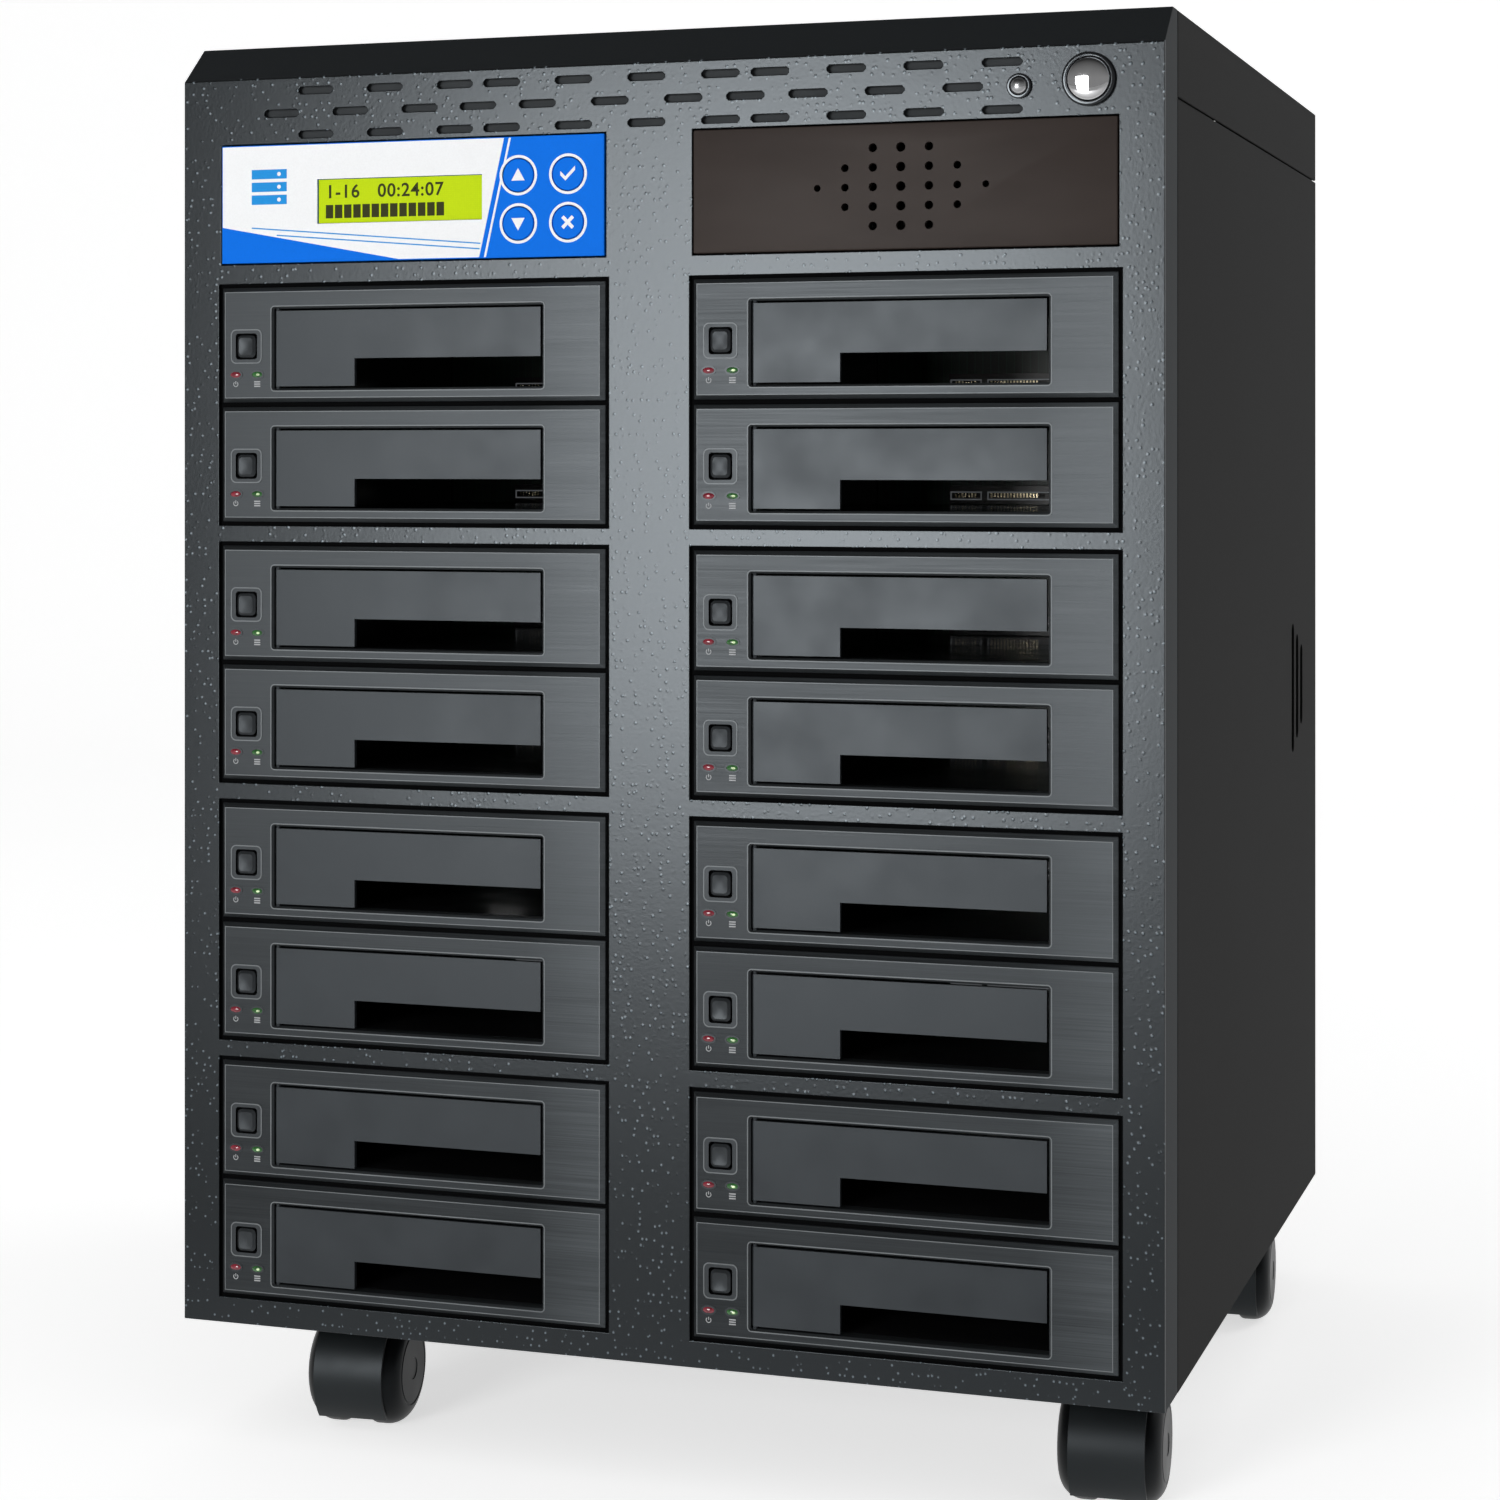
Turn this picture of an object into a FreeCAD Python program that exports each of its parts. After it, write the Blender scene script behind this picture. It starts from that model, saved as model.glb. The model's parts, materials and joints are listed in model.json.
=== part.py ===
"""Drive duplicator: a sixteen-bay hard drive copying tower on four twin-wheel casters.

Millimetres, +Z up, X to the right seen from the front, Y into the cabinet.
The origin is on the floor, under the middle of the cabinet.
"""
import FreeCAD, Part

import os
import re

import Sketcher

doc = FreeCAD.newDocument("drive_duplicator")

# ---------------------------------------------------------------------------
# Driving dimensions
# ---------------------------------------------------------------------------
SIZES = {
    # cabinet
    "ride_height": 42.5,         # floor to the lower edge of the cabinet
    "sheet": 1.2,                # steel of the outer panels
    "front_bevel_depth": 15.0,
    "front_bevel_rise": 13.5,
    "front_return": 23.0,        # how far the front panel folds back
    "cover_flange": 29.0,        # how far the top cover comes down the sides
    "seam": 0.8,                 # joint between the outer panels
    "fit": 0.3,                  # play between pieces that are screwed together
    # openings in the front panel
    "side_strip": 14.1,
    "mullion": 29.8,             # between the two columns of openings
    "bottom_strip": 9.3,
    "pair_strip": 5.9,
    "upper_strip": 7.0,
    "slot_band": 23.4,           # top bays to the bevel, where the vent slots are
    "bezel_gap": 1.4,
    "pair_split": 1.7,
    "slot_length": 13.6,
    "slot_width": 2.6,
    "slot_pitch": 27.1,
    "slot_short_pitch": 17.9,
    "slot_row_pitch": 7.93,
    "slot_left_shift": 1.0,      # middle of the slot rows, left of the cabinet's middle
    "slot_drop": 0.8,            # middle row below the middle of its band
    # drive racks
    "bezel_width": 148.2,
    "bezel_height": 41.4,
    "bezel_proud": 1.0,
    "bezel_back": 5.0,
    "bezel_bevel": 1.5,
    "door_pocket_left": 21.0,
    "door_pocket_width": 104.0,
    "door_pocket_bottom": 5.0,
    "door_pocket_height": 28.6,
    "pocket_bevel": 0.8,
    "door_gap": 0.7,
    "hinge_gap": 0.4,
    "door_thickness": 1.8,
    "door_sunk": 0.5,
    "door_corner": 0.54,
    "notch_left": 31.8,
    "notch_height": 10.6,
    "hinge_pin": 1.6,
    "hinge_pin_length": 2.0,
    "pin_play": 0.05,
    "button_width": 7.2,
    "button_height": 8.0,
    "button_centre_x": 10.2,
    "button_centre_z": 20.2,
    "button_recess": 11.2,
    "button_recess_depth": 1.0,
    "button_length": 6.4,
    "button_proud": 0.8,
    "button_bevel": 0.9,
    "lens_width": 4.0,
    "lens_height": 2.0,
    "lens_red_x": 5.9,
    "lens_green_x": 14.5,
    "lens_z": 10.0,
    "lens_play": 0.05,
    "cage_side_gap": 1.1,        # each side of a cage, from the edge of its bezel
    "cage_top_gap": 1.2,
    "cage_length": 175.0,
    "cage_sheet": 1.2,
    "board_set_back": 153.0,     # cage front to the connector board
    "board_thickness": 1.6,
    "connector_width": 42.0,
    "connector_height": 7.0,
    "connector_depth": 8.0,
    "connector_floor": 2.0,      # behind its two slots
    # top bays
    "fascia_trim": 0.2,          # how much narrower a fascia is than a bezel
    "fascia_height": 42.4,
    "fascia_gap": 0.5,
    "fascia_proud": 0.5,
    "fascia_wall": 2.5,
    "window_left": 38.1,
    "window_width": 64.0,
    "window_top": 12.8,
    "window_height": 16.0,
    "window_play": 0.15,
    "glass_sunk": 0.8,
    "key_diameter": 11.6,
    "key_play": 0.3,
    "key_proud": 0.4,
    "key_length": 3.4,
    "key_left": 115.9,
    "key_pitch_x": 18.7,
    "key_top": 13.6,
    "key_pitch_z": 16.9,
    "key_travel": 0.6,
    "circuit_side_gap": 5.0,
    "circuit_edge_gap": 3.7,
    "circuit_back": 9.0,         # front panel face to the front of the circuit board
    "vent_hole": 3.3,
    "vent_pitch_x": 9.8,
    "vent_pitch_z": 6.6,
    # power switch and lamp
    "switch_inset": 25.2,        # from the side of the cabinet
    "switch_rise": 0.2,          # above the middle of the slot band
    "switch_ring": 18.0,
    "switch_ring_proud": 2.2,
    "switch_barrel": 16.6,
    "switch_floor": 3.0,
    "switch_cap": 14.3,
    "switch_cap_play": 0.2,
    "switch_cap_proud": 3.4,
    "switch_cap_length": 12.0,
    "switch_cap_flat": 10.3,     # across the almost flat middle of the dome
    "switch_cap_crown": 0.4,
    "switch_cap_round": 1.6,
    "switch_travel": 2.0,
    "lamp_pitch": 23.6,          # switch to lamp
    "lamp_drop": 1.4,
    "lamp_holder": 8.5,
    "lamp_dome": 5.0,
    "lamp_tip": 3.0,
    "lamp_holder_proud": 1.4,
    "lamp_proud": 3.4,
    "lamp_stem": 8.0,
    # side panel grip slots
    "grip_inset": 68.0,          # longest slot to the rear
    "grip_pitch": 12.2,
    "grip_longest": 53.5,
    "grip_step": 9.9,
    "grip_width": 7.0,
    "grip_height": 217.5,        # lower edge of the cabinet to the middle of the slots
    # chassis
    "base_recess": 7.5,
    "base_sheet": 1.5,
    "bay_sheet": 1.0,
    "caster_pad": 38.0,
    "caster_pad_thickness": 2.5,
    # casters
    "caster_inset_left": 54.0,
    "caster_inset_right": 25.0,
    "caster_inset_front": 53.0,
    "caster_inset_rear": 67.0,
    "caster_trail": 15.0,
    "caster_turn_left": 5.0,     # degrees, how the casters happen to stand
    "caster_turn_right": 3.0,
    "wheel_diameter": 40.0,
    "wheel_width": 13.5,
    "wheel_gap": 9.0,
    "wheel_inner_round": 2.0,
    "wheel_tread": 4.0,
    "wheel_crown": 5.0,          # width and fall of the cone beside the tread
    "wheel_crown_fall": 2.6,
    "wheel_side_fall": 5.0,      # fall of the steeper cone, as far as the outer face
    "wheel_wall": 2.0,           # outer face of a wheel, past the end of the axle
    "axle_diameter": 5.0,
    "axle_play": 0.05,
    "hood_clearance": 0.5,
    "hood_wall": 1.2,
    "hood_width": 26.0,
    "hood_web": 7.6,
    "hood_front_gap": 5.0,
    "swivel_boss": 16.0,
    "swivel_boss_rise": 5.0,     # wheel centre to the lower end of the boss
    "swivel_pin": 8.0,
    "swivel_pin_sunk": 0.2,      # end of the pin below the floor of the pan
    "swivel_play": 0.08,
    # power supply and fan
    "supply_width": 150.0,
    "supply_height": 86.0,
    "supply_depth": 140.0,
    "supply_inset": 18.5,        # from the left side of the chassis
    "works_gap": 35.8,           # rear of the cages to the supply
    "supply_rim": 6.0,
    "supply_wall": 1.5,
    "supply_vent_width": 5.5,
    "supply_vent_pitch": 11.0,
    "supply_vent_inset": 22.0,
    "supply_vent_margin": 16.0,
    "inlet_left": 14.0,
    "inlet_width": 27.0,
    "inlet_height": 19.5,
    "inlet_depth": 9.0,
    "inlet_wall": 1.5,
    "inlet_pin_pitch": 7.0,
    "inlet_pin_width": 2.0,
    "inlet_pin_height": 4.0,
    "inlet_pin_length": 7.0,
    "inlet_earth_rise": 3.5,     # how much higher the middle pin stands
    "fan_size": 120.0,
    "fan_depth": 25.0,
    "fan_inset": 118.5,          # middle of the fan to the right side of the chassis
    "fan_drop": 176.0,
    "fan_bore": 115.0,
    "fan_hub": 40.0,
    "fan_strut": 4.0,            # width and depth of the struts, and depth of the hub disc
    "fan_axle": 6.0,
    "fan_axle_length": 6.0,
    "fan_axle_play": 0.1,
    "fan_rotor_hub": 38.0,
    "fan_rotor_depth": 18.0,
    "fan_rotor_gap": 1.0,
    "fan_tip_play": 2.0,
    "blade_thickness": 1.4,
    "blade_pitch": 38.0,
    "blade_chord": 21.6,
    "blade_root": 2.0,           # how far a blade reaches into the hub
    "grille_ring": 9.0,
    "grille_rib": 4.0,
}

PAIRS = 4           # pairs of racks in a column
BLADES = 7
SUPPLY_VENTS = 7
GRILLE_RINGS = 3
PIN_SIDES = 8
HOLE_SIDES = 10
SLOT_GROUPS = (3, 4, 4)
VENT_ROWS = (3, 5, 7, 5, 3)

sizes = doc.addObject("Spreadsheet::Sheet", "sizes")
for row, (word, number) in enumerate(SIZES.items(), start=1):
    sizes.set(f"A{row}", word)
    sizes.set(f"B{row}", str(number))
    sizes.setAlias(f"B{row}", word)
doc.recompute()

# Places that follow from the driving dimensions. Each is a formula of the sheet.
PLACES = {
    "cutout_width": "bezel_width + 2 * bezel_gap",
    "cutout_height": "2 * bezel_height + pair_split + 2 * bezel_gap",
    "pair_pitch": "cutout_height + pair_strip",
    "cutouts_reach": f"{PAIRS} * pair_pitch - pair_strip",
    "cabinet_width": "2 * side_strip + 2 * cutout_width + mullion",
    "cabinet_height": "bottom_strip + cutouts_reach + upper_strip + fascia_height"
                      " + 2 * fascia_gap + slot_band + front_bevel_rise",
    "cabinet_depth": "bezel_back + cage_length + works_gap + supply_depth + sheet",
    "front": "-cabinet_depth / 2",
    "rear": "cabinet_depth / 2",
    "side": "cabinet_width / 2",
    "bottom": "ride_height",
    "top": "ride_height + cabinet_height",
    "face_top": "top - front_bevel_rise",
    "cover_front": "front + front_return + seam",
    "cover_low": "top - cover_flange",
    "column_centre": "side - side_strip - cutout_width / 2",
    "cutouts_low": "bottom + bottom_strip",
    "fascia_low": "cutouts_low + cutouts_reach + upper_strip + fascia_gap",
    "fascia_width": "bezel_width - fascia_trim",
    "slot_run": f"{sum(SLOT_GROUPS) - len(SLOT_GROUPS)} * slot_pitch"
                f" + {len(SLOT_GROUPS) - 1} * slot_short_pitch",
    "slot_middle": "face_top - slot_band / 2",
    "switch_x": "side - switch_inset",
    "switch_z": "slot_middle + switch_rise",
    "lamp_x": "switch_x - lamp_pitch",
    "lamp_z": "switch_z - lamp_drop",
    "cage_width": "bezel_width - 2 * cage_side_gap",
    "cage_height": "bezel_height - cage_top_gap",
    "frame_front": "front + bezel_back",
    "board_front": "frame_front + board_set_back",
    "door_front": "front - bezel_proud + door_sunk",
    "hinge_x": "door_pocket_left + hinge_gap + door_thickness / 2",
    "hinge_y": "door_front + door_thickness / 2",
    "door_low": "door_pocket_bottom + door_gap",
    "door_high": "door_pocket_bottom + door_pocket_height - door_gap",
    "door_right": "door_pocket_left + door_pocket_width - door_gap",
    "pan_under": "bottom + base_recess",
    "pan_top": "pan_under + base_sheet",
    "inner_side": "side - sheet - fit",
    "wheel_radius": "wheel_diameter / 2",
    "hood_inner": "wheel_radius + hood_clearance",
    "hood_outer": "hood_inner + hood_wall",
    "boss_top": "pan_under - caster_pad_thickness - fit",
    "supply_low": "pan_top",
    "supply_left": "inner_side - supply_inset",
    "fan_x": "inner_side - fan_inset",
    "fan_z": "top - fan_drop",
    "wall_inside": "rear - sheet",
    "cap_end": "front - switch_cap_proud + switch_cap_length",
    "switch_bore_end": "cap_end + switch_travel + fit",
}


def expand(text):
    """Turn a formula of plain words into a FreeCAD expression on the sheet."""
    def word(match):
        name = match.group(0)
        if name in PLACES:
            return "(" + expand(PLACES[name]) + ")"
        return "sizes." + name if name in SIZES else name
    return re.sub(r"[a-z][a-z_]+", word, str(text))


def value(text):
    """The number that a formula comes to."""
    return float(sizes.evalExpression(expand(text)))


def bind(thing, prop, text):
    thing.setExpression(prop, expand(text))


def place(thing, x="0", y="0", z="0"):
    """Stand a piece at a point given by three formulas."""
    for letter, text in zip("xyz", (x, y, z)):
        bind(thing, "Placement.Base." + letter, text)
    return thing


# ---------------------------------------------------------------------------
# Part primitives and booleans
# ---------------------------------------------------------------------------
def box(name, x, y, z):
    """A block between two formulas along each axis."""
    block = doc.addObject("Part::Box", name)
    for prop, letter, (low, high) in zip(("Length", "Width", "Height"), "xyz", (x, y, z)):
        bind(block, prop, f"({high}) - ({low})")
        bind(block, "Placement.Base." + letter, low)
    return block


TURNS = {
    "X": FreeCAD.Rotation(FreeCAD.Vector(0, 1, 0), 90),
    "Y": FreeCAD.Rotation(FreeCAD.Vector(1, 0, 0), -90),
    "Z": FreeCAD.Rotation(),
}


def rod(name, axis, radius, length, x="0", y="0", z="0"):
    """A cylinder that runs from a point along +X, +Y or +Z."""
    cylinder = doc.addObject("Part::Cylinder", name)
    bind(cylinder, "Radius", radius)
    bind(cylinder, "Height", length)
    cylinder.Placement.Rotation = TURNS[axis]
    return place(cylinder, x, y, z)


def prism(name, axis, radius, length, sides, x="0", y="0", z="0"):
    """A regular many-sided bar that runs from a point along +X, +Y or +Z."""
    bar = doc.addObject("Part::Prism", name)
    bar.Polygon = sides
    bind(bar, "Circumradius", radius)
    bind(bar, "Height", length)
    bar.Placement.Rotation = TURNS[axis]
    return place(bar, x, y, z)


def fuse(name, *pieces):
    union = doc.addObject("Part::MultiFuse", name)
    union.Shapes = list(pieces)
    union.Refine = True
    return union


def cut(name, base, *tools):
    """The base with each tool taken away."""
    tool = tools[0] if len(tools) == 1 else fuse(name + "_tools", *tools)
    rest = doc.addObject("Part::Cut", name)
    rest.Base = base
    rest.Tool = tool
    rest.Refine = True
    return rest


def copies(label, *pieces):
    """A node that holds finished solids as they stand."""
    group = doc.addObject("Part::Compound", label)
    group.Links = list(pieces)
    return group


# ---------------------------------------------------------------------------
# PartDesign bodies
# ---------------------------------------------------------------------------
PLANES = {
    # plane: (role, sign of its normal along the axis it is moved on)
    "XY": ("XY_Plane", 1),
    "XZ": ("XZ_Plane", -1),
    "YZ": ("YZ_Plane", 1),
}


def new_body(name):
    return doc.addObject("PartDesign::Body", name)


def sketch_on(body, plane, level="0"):
    """An empty sketch on one of the body's origin planes, moved to a level."""
    role, sign = PLANES[plane]
    support = [part for part in body.Origin.OriginFeatures if part.Role == role][0]
    drawing = body.newObject("Sketcher::SketchObject", body.Name + "_sketch")
    drawing.AttachmentSupport = (support, [""])
    drawing.MapMode = "FlatFace"
    bind(drawing, "AttachmentOffset.Base.z", f"{sign} * ({level})")
    return drawing


def pin_point(drawing, geometry, end, x, y):
    """Hold one point of the sketch by its two coordinates."""
    for kind, text in (("DistanceX", x), ("DistanceY", y)):
        index = drawing.addConstraint(
            Sketcher.Constraint(kind, -1, 1, geometry, end, value(text)))
        drawing.setExpression(f"Constraints[{index}]", expand(text))


def outline(drawing, points):
    """A closed outline of straight lines through points given as formulas."""
    spots = [FreeCAD.Vector(value(x), value(y), 0) for x, y in points]
    first = drawing.GeometryCount
    count = len(spots)
    for i in range(count):
        drawing.addGeometry(Part.LineSegment(spots[i], spots[(i + 1) % count]), False)
    for i in range(count):
        drawing.addConstraint(
            Sketcher.Constraint("Coincident", first + i, 2, first + (i + 1) % count, 1))
        pin_point(drawing, first + i, 1, *points[i])


def rectangle(drawing, x, y):
    """A rectangle between two formulas along each sketch axis."""
    outline(drawing, [(x[0], y[0]), (x[1], y[0]), (x[1], y[1]), (x[0], y[1])])


def circle(drawing, x, y, radius):
    centre = FreeCAD.Vector(value(x), value(y), 0)
    index = drawing.addGeometry(
        Part.Circle(centre, FreeCAD.Vector(0, 0, 1), value(radius)), False)
    pin_point(drawing, index, 3, x, y)
    size = drawing.addConstraint(Sketcher.Constraint("Radius", index, value(radius)))
    drawing.setExpression(f"Constraints[{size}]", expand(radius))


def stadium(drawing, x, y, length, width):
    """An upright slot with round ends, about its middle."""
    radius = f"({width}) / 2"
    reach = f"({length}) / 2 - {radius}"
    r, s = value(radius), value(reach)
    cx, cy = value(x), value(y)
    z_axis = FreeCAD.Vector(0, 0, 1)
    half = 3.141592653589793
    upper = drawing.addGeometry(Part.ArcOfCircle(
        Part.Circle(FreeCAD.Vector(cx, cy + s, 0), z_axis, r), 0, half), False)
    lower = drawing.addGeometry(Part.ArcOfCircle(
        Part.Circle(FreeCAD.Vector(cx, cy - s, 0), z_axis, r), half, 2 * half), False)
    left = drawing.addGeometry(Part.LineSegment(
        FreeCAD.Vector(cx - r, cy + s, 0), FreeCAD.Vector(cx - r, cy - s, 0)), False)
    right = drawing.addGeometry(Part.LineSegment(
        FreeCAD.Vector(cx + r, cy - s, 0), FreeCAD.Vector(cx + r, cy + s, 0)), False)
    for a, a_end, b, b_end in ((upper, 2, left, 1), (left, 2, lower, 1),
                               (lower, 2, right, 1), (right, 2, upper, 1)):
        drawing.addConstraint(Sketcher.Constraint("Tangent", a, a_end, b, b_end))
    pin_point(drawing, upper, 3, x, f"{y} + {reach}")
    pin_point(drawing, lower, 3, x, f"{y} - ({reach})")
    size = drawing.addConstraint(Sketcher.Constraint("Radius", upper, r))
    drawing.setExpression(f"Constraints[{size}]", expand(radius))


def pad(body, drawing, length, reverse=False, midplane=False):
    feature = body.newObject("PartDesign::Pad", body.Name + "_pad")
    feature.Profile = drawing
    bind(feature, "Length", length)
    feature.Reversed = reverse
    feature.Midplane = midplane
    return feature


def pocket(body, drawing, length=None, reverse=False, midplane=False):
    """Cut the sketch into the body, through everything where no length is given."""
    before = body.Shape.Volume
    feature = body.newObject("PartDesign::Pocket", body.Name + "_pocket")
    feature.Profile = drawing
    feature.Reversed = reverse
    feature.Midplane = midplane
    if length is None:
        feature.Type = "ThroughAll"
    else:
        bind(feature, "Length", length)
    doc.recompute()
    if not feature.Shape.Volume < before:
        raise RuntimeError(f"{feature.Name} takes nothing from {body.Name}")
    return feature


def bevel(body, size, low, high):
    """Chamfer every edge of the body that lies inside a box of formulas."""
    doc.recompute()
    tip = body.Tip
    tolerance = 0.01
    a = [value(text) - tolerance for text in low]
    b = [value(text) + tolerance for text in high]
    names = []
    for number, edge in enumerate(tip.Shape.Edges, start=1):
        span = edge.BoundBox
        inside = (a[0] <= span.XMin and span.XMax <= b[0]
                  and a[1] <= span.YMin and span.YMax <= b[1]
                  and a[2] <= span.ZMin and span.ZMax <= b[2])
        if inside:
            names.append(f"Edge{number}")
    feature = body.newObject("PartDesign::Chamfer", body.Name + "_chamfer")
    feature.Base = (tip, names)
    bind(feature, "Size", size)
    doc.recompute()
    return feature


def repeat(body, feature, drawing, length, number, axis="H_Axis"):
    """Repeat a cut along an axis of its sketch."""
    row = body.newObject("PartDesign::LinearPattern", body.Name + "_row")
    row.Originals = [feature]
    row.Direction = (drawing, [axis])
    bind(row, "Length", length)
    row.Occurrences = number
    body.Tip = row
    return row


nodes = {}


def node(label, thing):
    """Name a finished sub-part: the label names its file."""
    thing.Label = label
    nodes[label] = thing
    return thing


# ---------------------------------------------------------------------------
# Outer panels
# ---------------------------------------------------------------------------
def slot_runs():
    """Vent slots stand in three rows. Each run is (row, middle of its first slot, number)."""
    runs = []
    here = "-slot_left_shift - (slot_run) / 2"
    for group, number in enumerate(SLOT_GROUPS):
        run_length = f"{number - 1} * slot_pitch"
        last = f"{here} + {run_length}"
        for line in (0, 2):
            runs.append((line, here, number))
        # the middle row stands between the slots of the outer rows
        if group == 0:
            runs.append((1, f"{here} - slot_pitch / 2", number))
        else:
            runs.append((1, f"{here} - slot_short_pitch / 2", 1))
            runs.append((1, f"{here} + slot_pitch / 2", number - 1))
        here = f"{last} + slot_short_pitch"
    return runs


def vent_slot(drawing, x, z):
    """One lying slot; its ends are cut back by a third of the width."""
    nip = "slot_width / 3"
    left, right = f"{x} - slot_length / 2", f"{x} + slot_length / 2"
    low, high = f"{z} - slot_width / 2", f"{z} + slot_width / 2"
    outline(drawing, [
        (f"{left} + {nip}", low), (f"{right} - {nip}", low),
        (right, f"{low} + {nip}"), (right, f"{high} - {nip}"),
        (f"{right} - {nip}", high), (f"{left} + {nip}", high),
        (left, f"{high} - {nip}"), (left, f"{low} + {nip}")])


def build_front_panel():
    """The folded front: face, bevel, and returns on all four sides."""
    body = new_body("front_panel")
    profile = sketch_on(body, "YZ")
    outline(profile, [
        ("front", "bottom"), ("front + front_return", "bottom"),
        ("front + front_return", "top"), ("front + front_bevel_depth", "top"),
        ("front", "face_top")])
    pad(body, profile, "cabinet_width", midplane=True)
    doc.recompute()
    hollow = sketch_on(body, "YZ")
    outline(hollow, [
        ("front + sheet", "bottom + sheet"), ("front + front_return + sheet", "bottom + sheet"),
        ("front + front_return + sheet", "top - sheet"),
        ("front + front_bevel_depth + sheet / 2", "top - sheet"),
        ("front + sheet", "face_top - sheet / 2")])
    pocket(body, hollow, "cabinet_width - 2 * sheet", midplane=True)

    bays = sketch_on(body, "XZ", "front")
    for sign in ("-", ""):
        centre = f"{sign}column_centre"
        across = (f"{centre} - cutout_width / 2", f"{centre} + cutout_width / 2")
        rectangle(bays, across, ("cutouts_low", "cutouts_low + cutout_height"))
    lowest = pocket(body, bays, "2 * sheet")
    repeat(body, lowest, bays, f"{PAIRS - 1} * pair_pitch", PAIRS, "V_Axis")

    openings = sketch_on(body, "XZ", "front")
    for sign in ("-", ""):
        centre = f"{sign}column_centre"
        rectangle(openings,
                  (f"{centre} - fascia_width / 2 - fascia_gap",
                   f"{centre} + fascia_width / 2 + fascia_gap"),
                  ("fascia_low - fascia_gap", "fascia_low + fascia_height + fascia_gap"))
    circle(openings, "switch_x", "switch_z", "switch_barrel / 2 + fit")
    circle(openings, "lamp_x", "lamp_z", "lamp_dome / 2 + fit")
    pocket(body, openings, "2 * sheet")

    for line, x, number in slot_runs():
        slot = sketch_on(body, "XZ", "front")
        vent_slot(slot, x, f"slot_middle - slot_drop - {line - 1} * slot_row_pitch")
        first = pocket(body, slot, "2 * sheet")
        if number > 1:
            repeat(body, first, slot, f"{number - 1} * slot_pitch", number)
    return node("front_panel", body)


def build_top_cover():
    """The lid: a folded sheet that comes a little way down both sides."""
    body = new_body("top_cover")
    profile = sketch_on(body, "XZ", "cover_front")
    outline(profile, [
        ("-side", "cover_low"), ("-side + sheet", "cover_low"),
        ("-side + sheet", "top - sheet"), ("side - sheet", "top - sheet"),
        ("side - sheet", "cover_low"), ("side", "cover_low"),
        ("side", "top"), ("-side", "top")])
    pad(body, profile, "rear - cover_front", reverse=True)
    return node("top_cover", body)


def build_side_panels():
    """The two removable side sheets, with three grip slots towards the rear."""
    body = new_body("side_panel")
    profile = sketch_on(body, "YZ", "side - sheet")
    rectangle(profile, ("cover_front", "rear"), ("bottom", "cover_low - seam"))
    pad(body, profile, "sheet")
    doc.recompute()
    slots = sketch_on(body, "YZ", "side")
    for i in range(3):
        stadium(slots, f"rear - grip_inset + {i} * grip_pitch", "bottom + grip_height",
                f"grip_longest - {i} * grip_step", "grip_width")
    pocket(body, slots)
    mirror = doc.addObject("Part::Mirroring", "side_panel_left")
    mirror.Source = body
    mirror.Normal = FreeCAD.Vector(1, 0, 0)
    return node("side_panels", copies("side_panels", body, mirror))


# ---------------------------------------------------------------------------
# Chassis
# ---------------------------------------------------------------------------
CASTERS = {
    "front_left": ("-side + caster_inset_left", "front + caster_inset_front", "caster_turn_left"),
    "front_right": ("side - caster_inset_right", "front + caster_inset_front", "caster_turn_right"),
    "rear_left": ("-side + caster_inset_left", "rear - caster_inset_rear", "caster_turn_left"),
    "rear_right": ("side - caster_inset_right", "rear - caster_inset_rear", "caster_turn_right"),
}


def build_base_pan():
    """Floor of the chassis with two lips, and a pad with a swivel bore for each caster."""
    across = ("-inner_side", "inner_side")
    along = ("front + sheet + fit", "wall_inside")
    floor = box("pan_floor", across, along, ("pan_under", "pan_top"))
    lip_along = ("front + front_return + fit", "wall_inside")
    lips = [
        box("pan_lip_left", ("-inner_side", "-inner_side + sheet"), lip_along,
            ("bottom", "pan_under")),
        box("pan_lip_right", ("inner_side - sheet", "inner_side"), lip_along,
            ("bottom", "pan_under")),
    ]
    pads, bores = [], []
    for corner, (x, y, _) in CASTERS.items():
        half = "caster_pad / 2"
        pads.append(box(f"pad_{corner}",
                        (f"{x} - {half}", f"min({x} + {half}; inner_side)"),
                        (f"{y} - {half}", f"{y} + {half}"),
                        ("pan_under - caster_pad_thickness", "pan_under")))
        bores.append(rod(f"bore_{corner}", "Z", "swivel_pin / 2 + swivel_play",
                         "caster_pad_thickness + base_sheet",
                         x, y, "pan_under - caster_pad_thickness"))
    return cut("base_pan", fuse("pan_blank", floor, *lips, *pads), *bores)


def grille_ring(index):
    """A ring-shaped gap of the fan grille, crossed by four ribs."""
    inner = f"fan_hub / 2 + grille_rib / 2 + {index} * (grille_ring + grille_rib)"
    start = "rear - 2 * sheet"
    ring = cut(f"grille_ring_{index}",
               rod(f"grille_outer_{index}", "Y", f"{inner} + grille_ring", "3 * sheet",
                   "fan_x", start, "fan_z"),
               rod(f"grille_inner_{index}", "Y", inner, "3 * sheet",
                   "fan_x", start, "fan_z"))
    return ring


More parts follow.
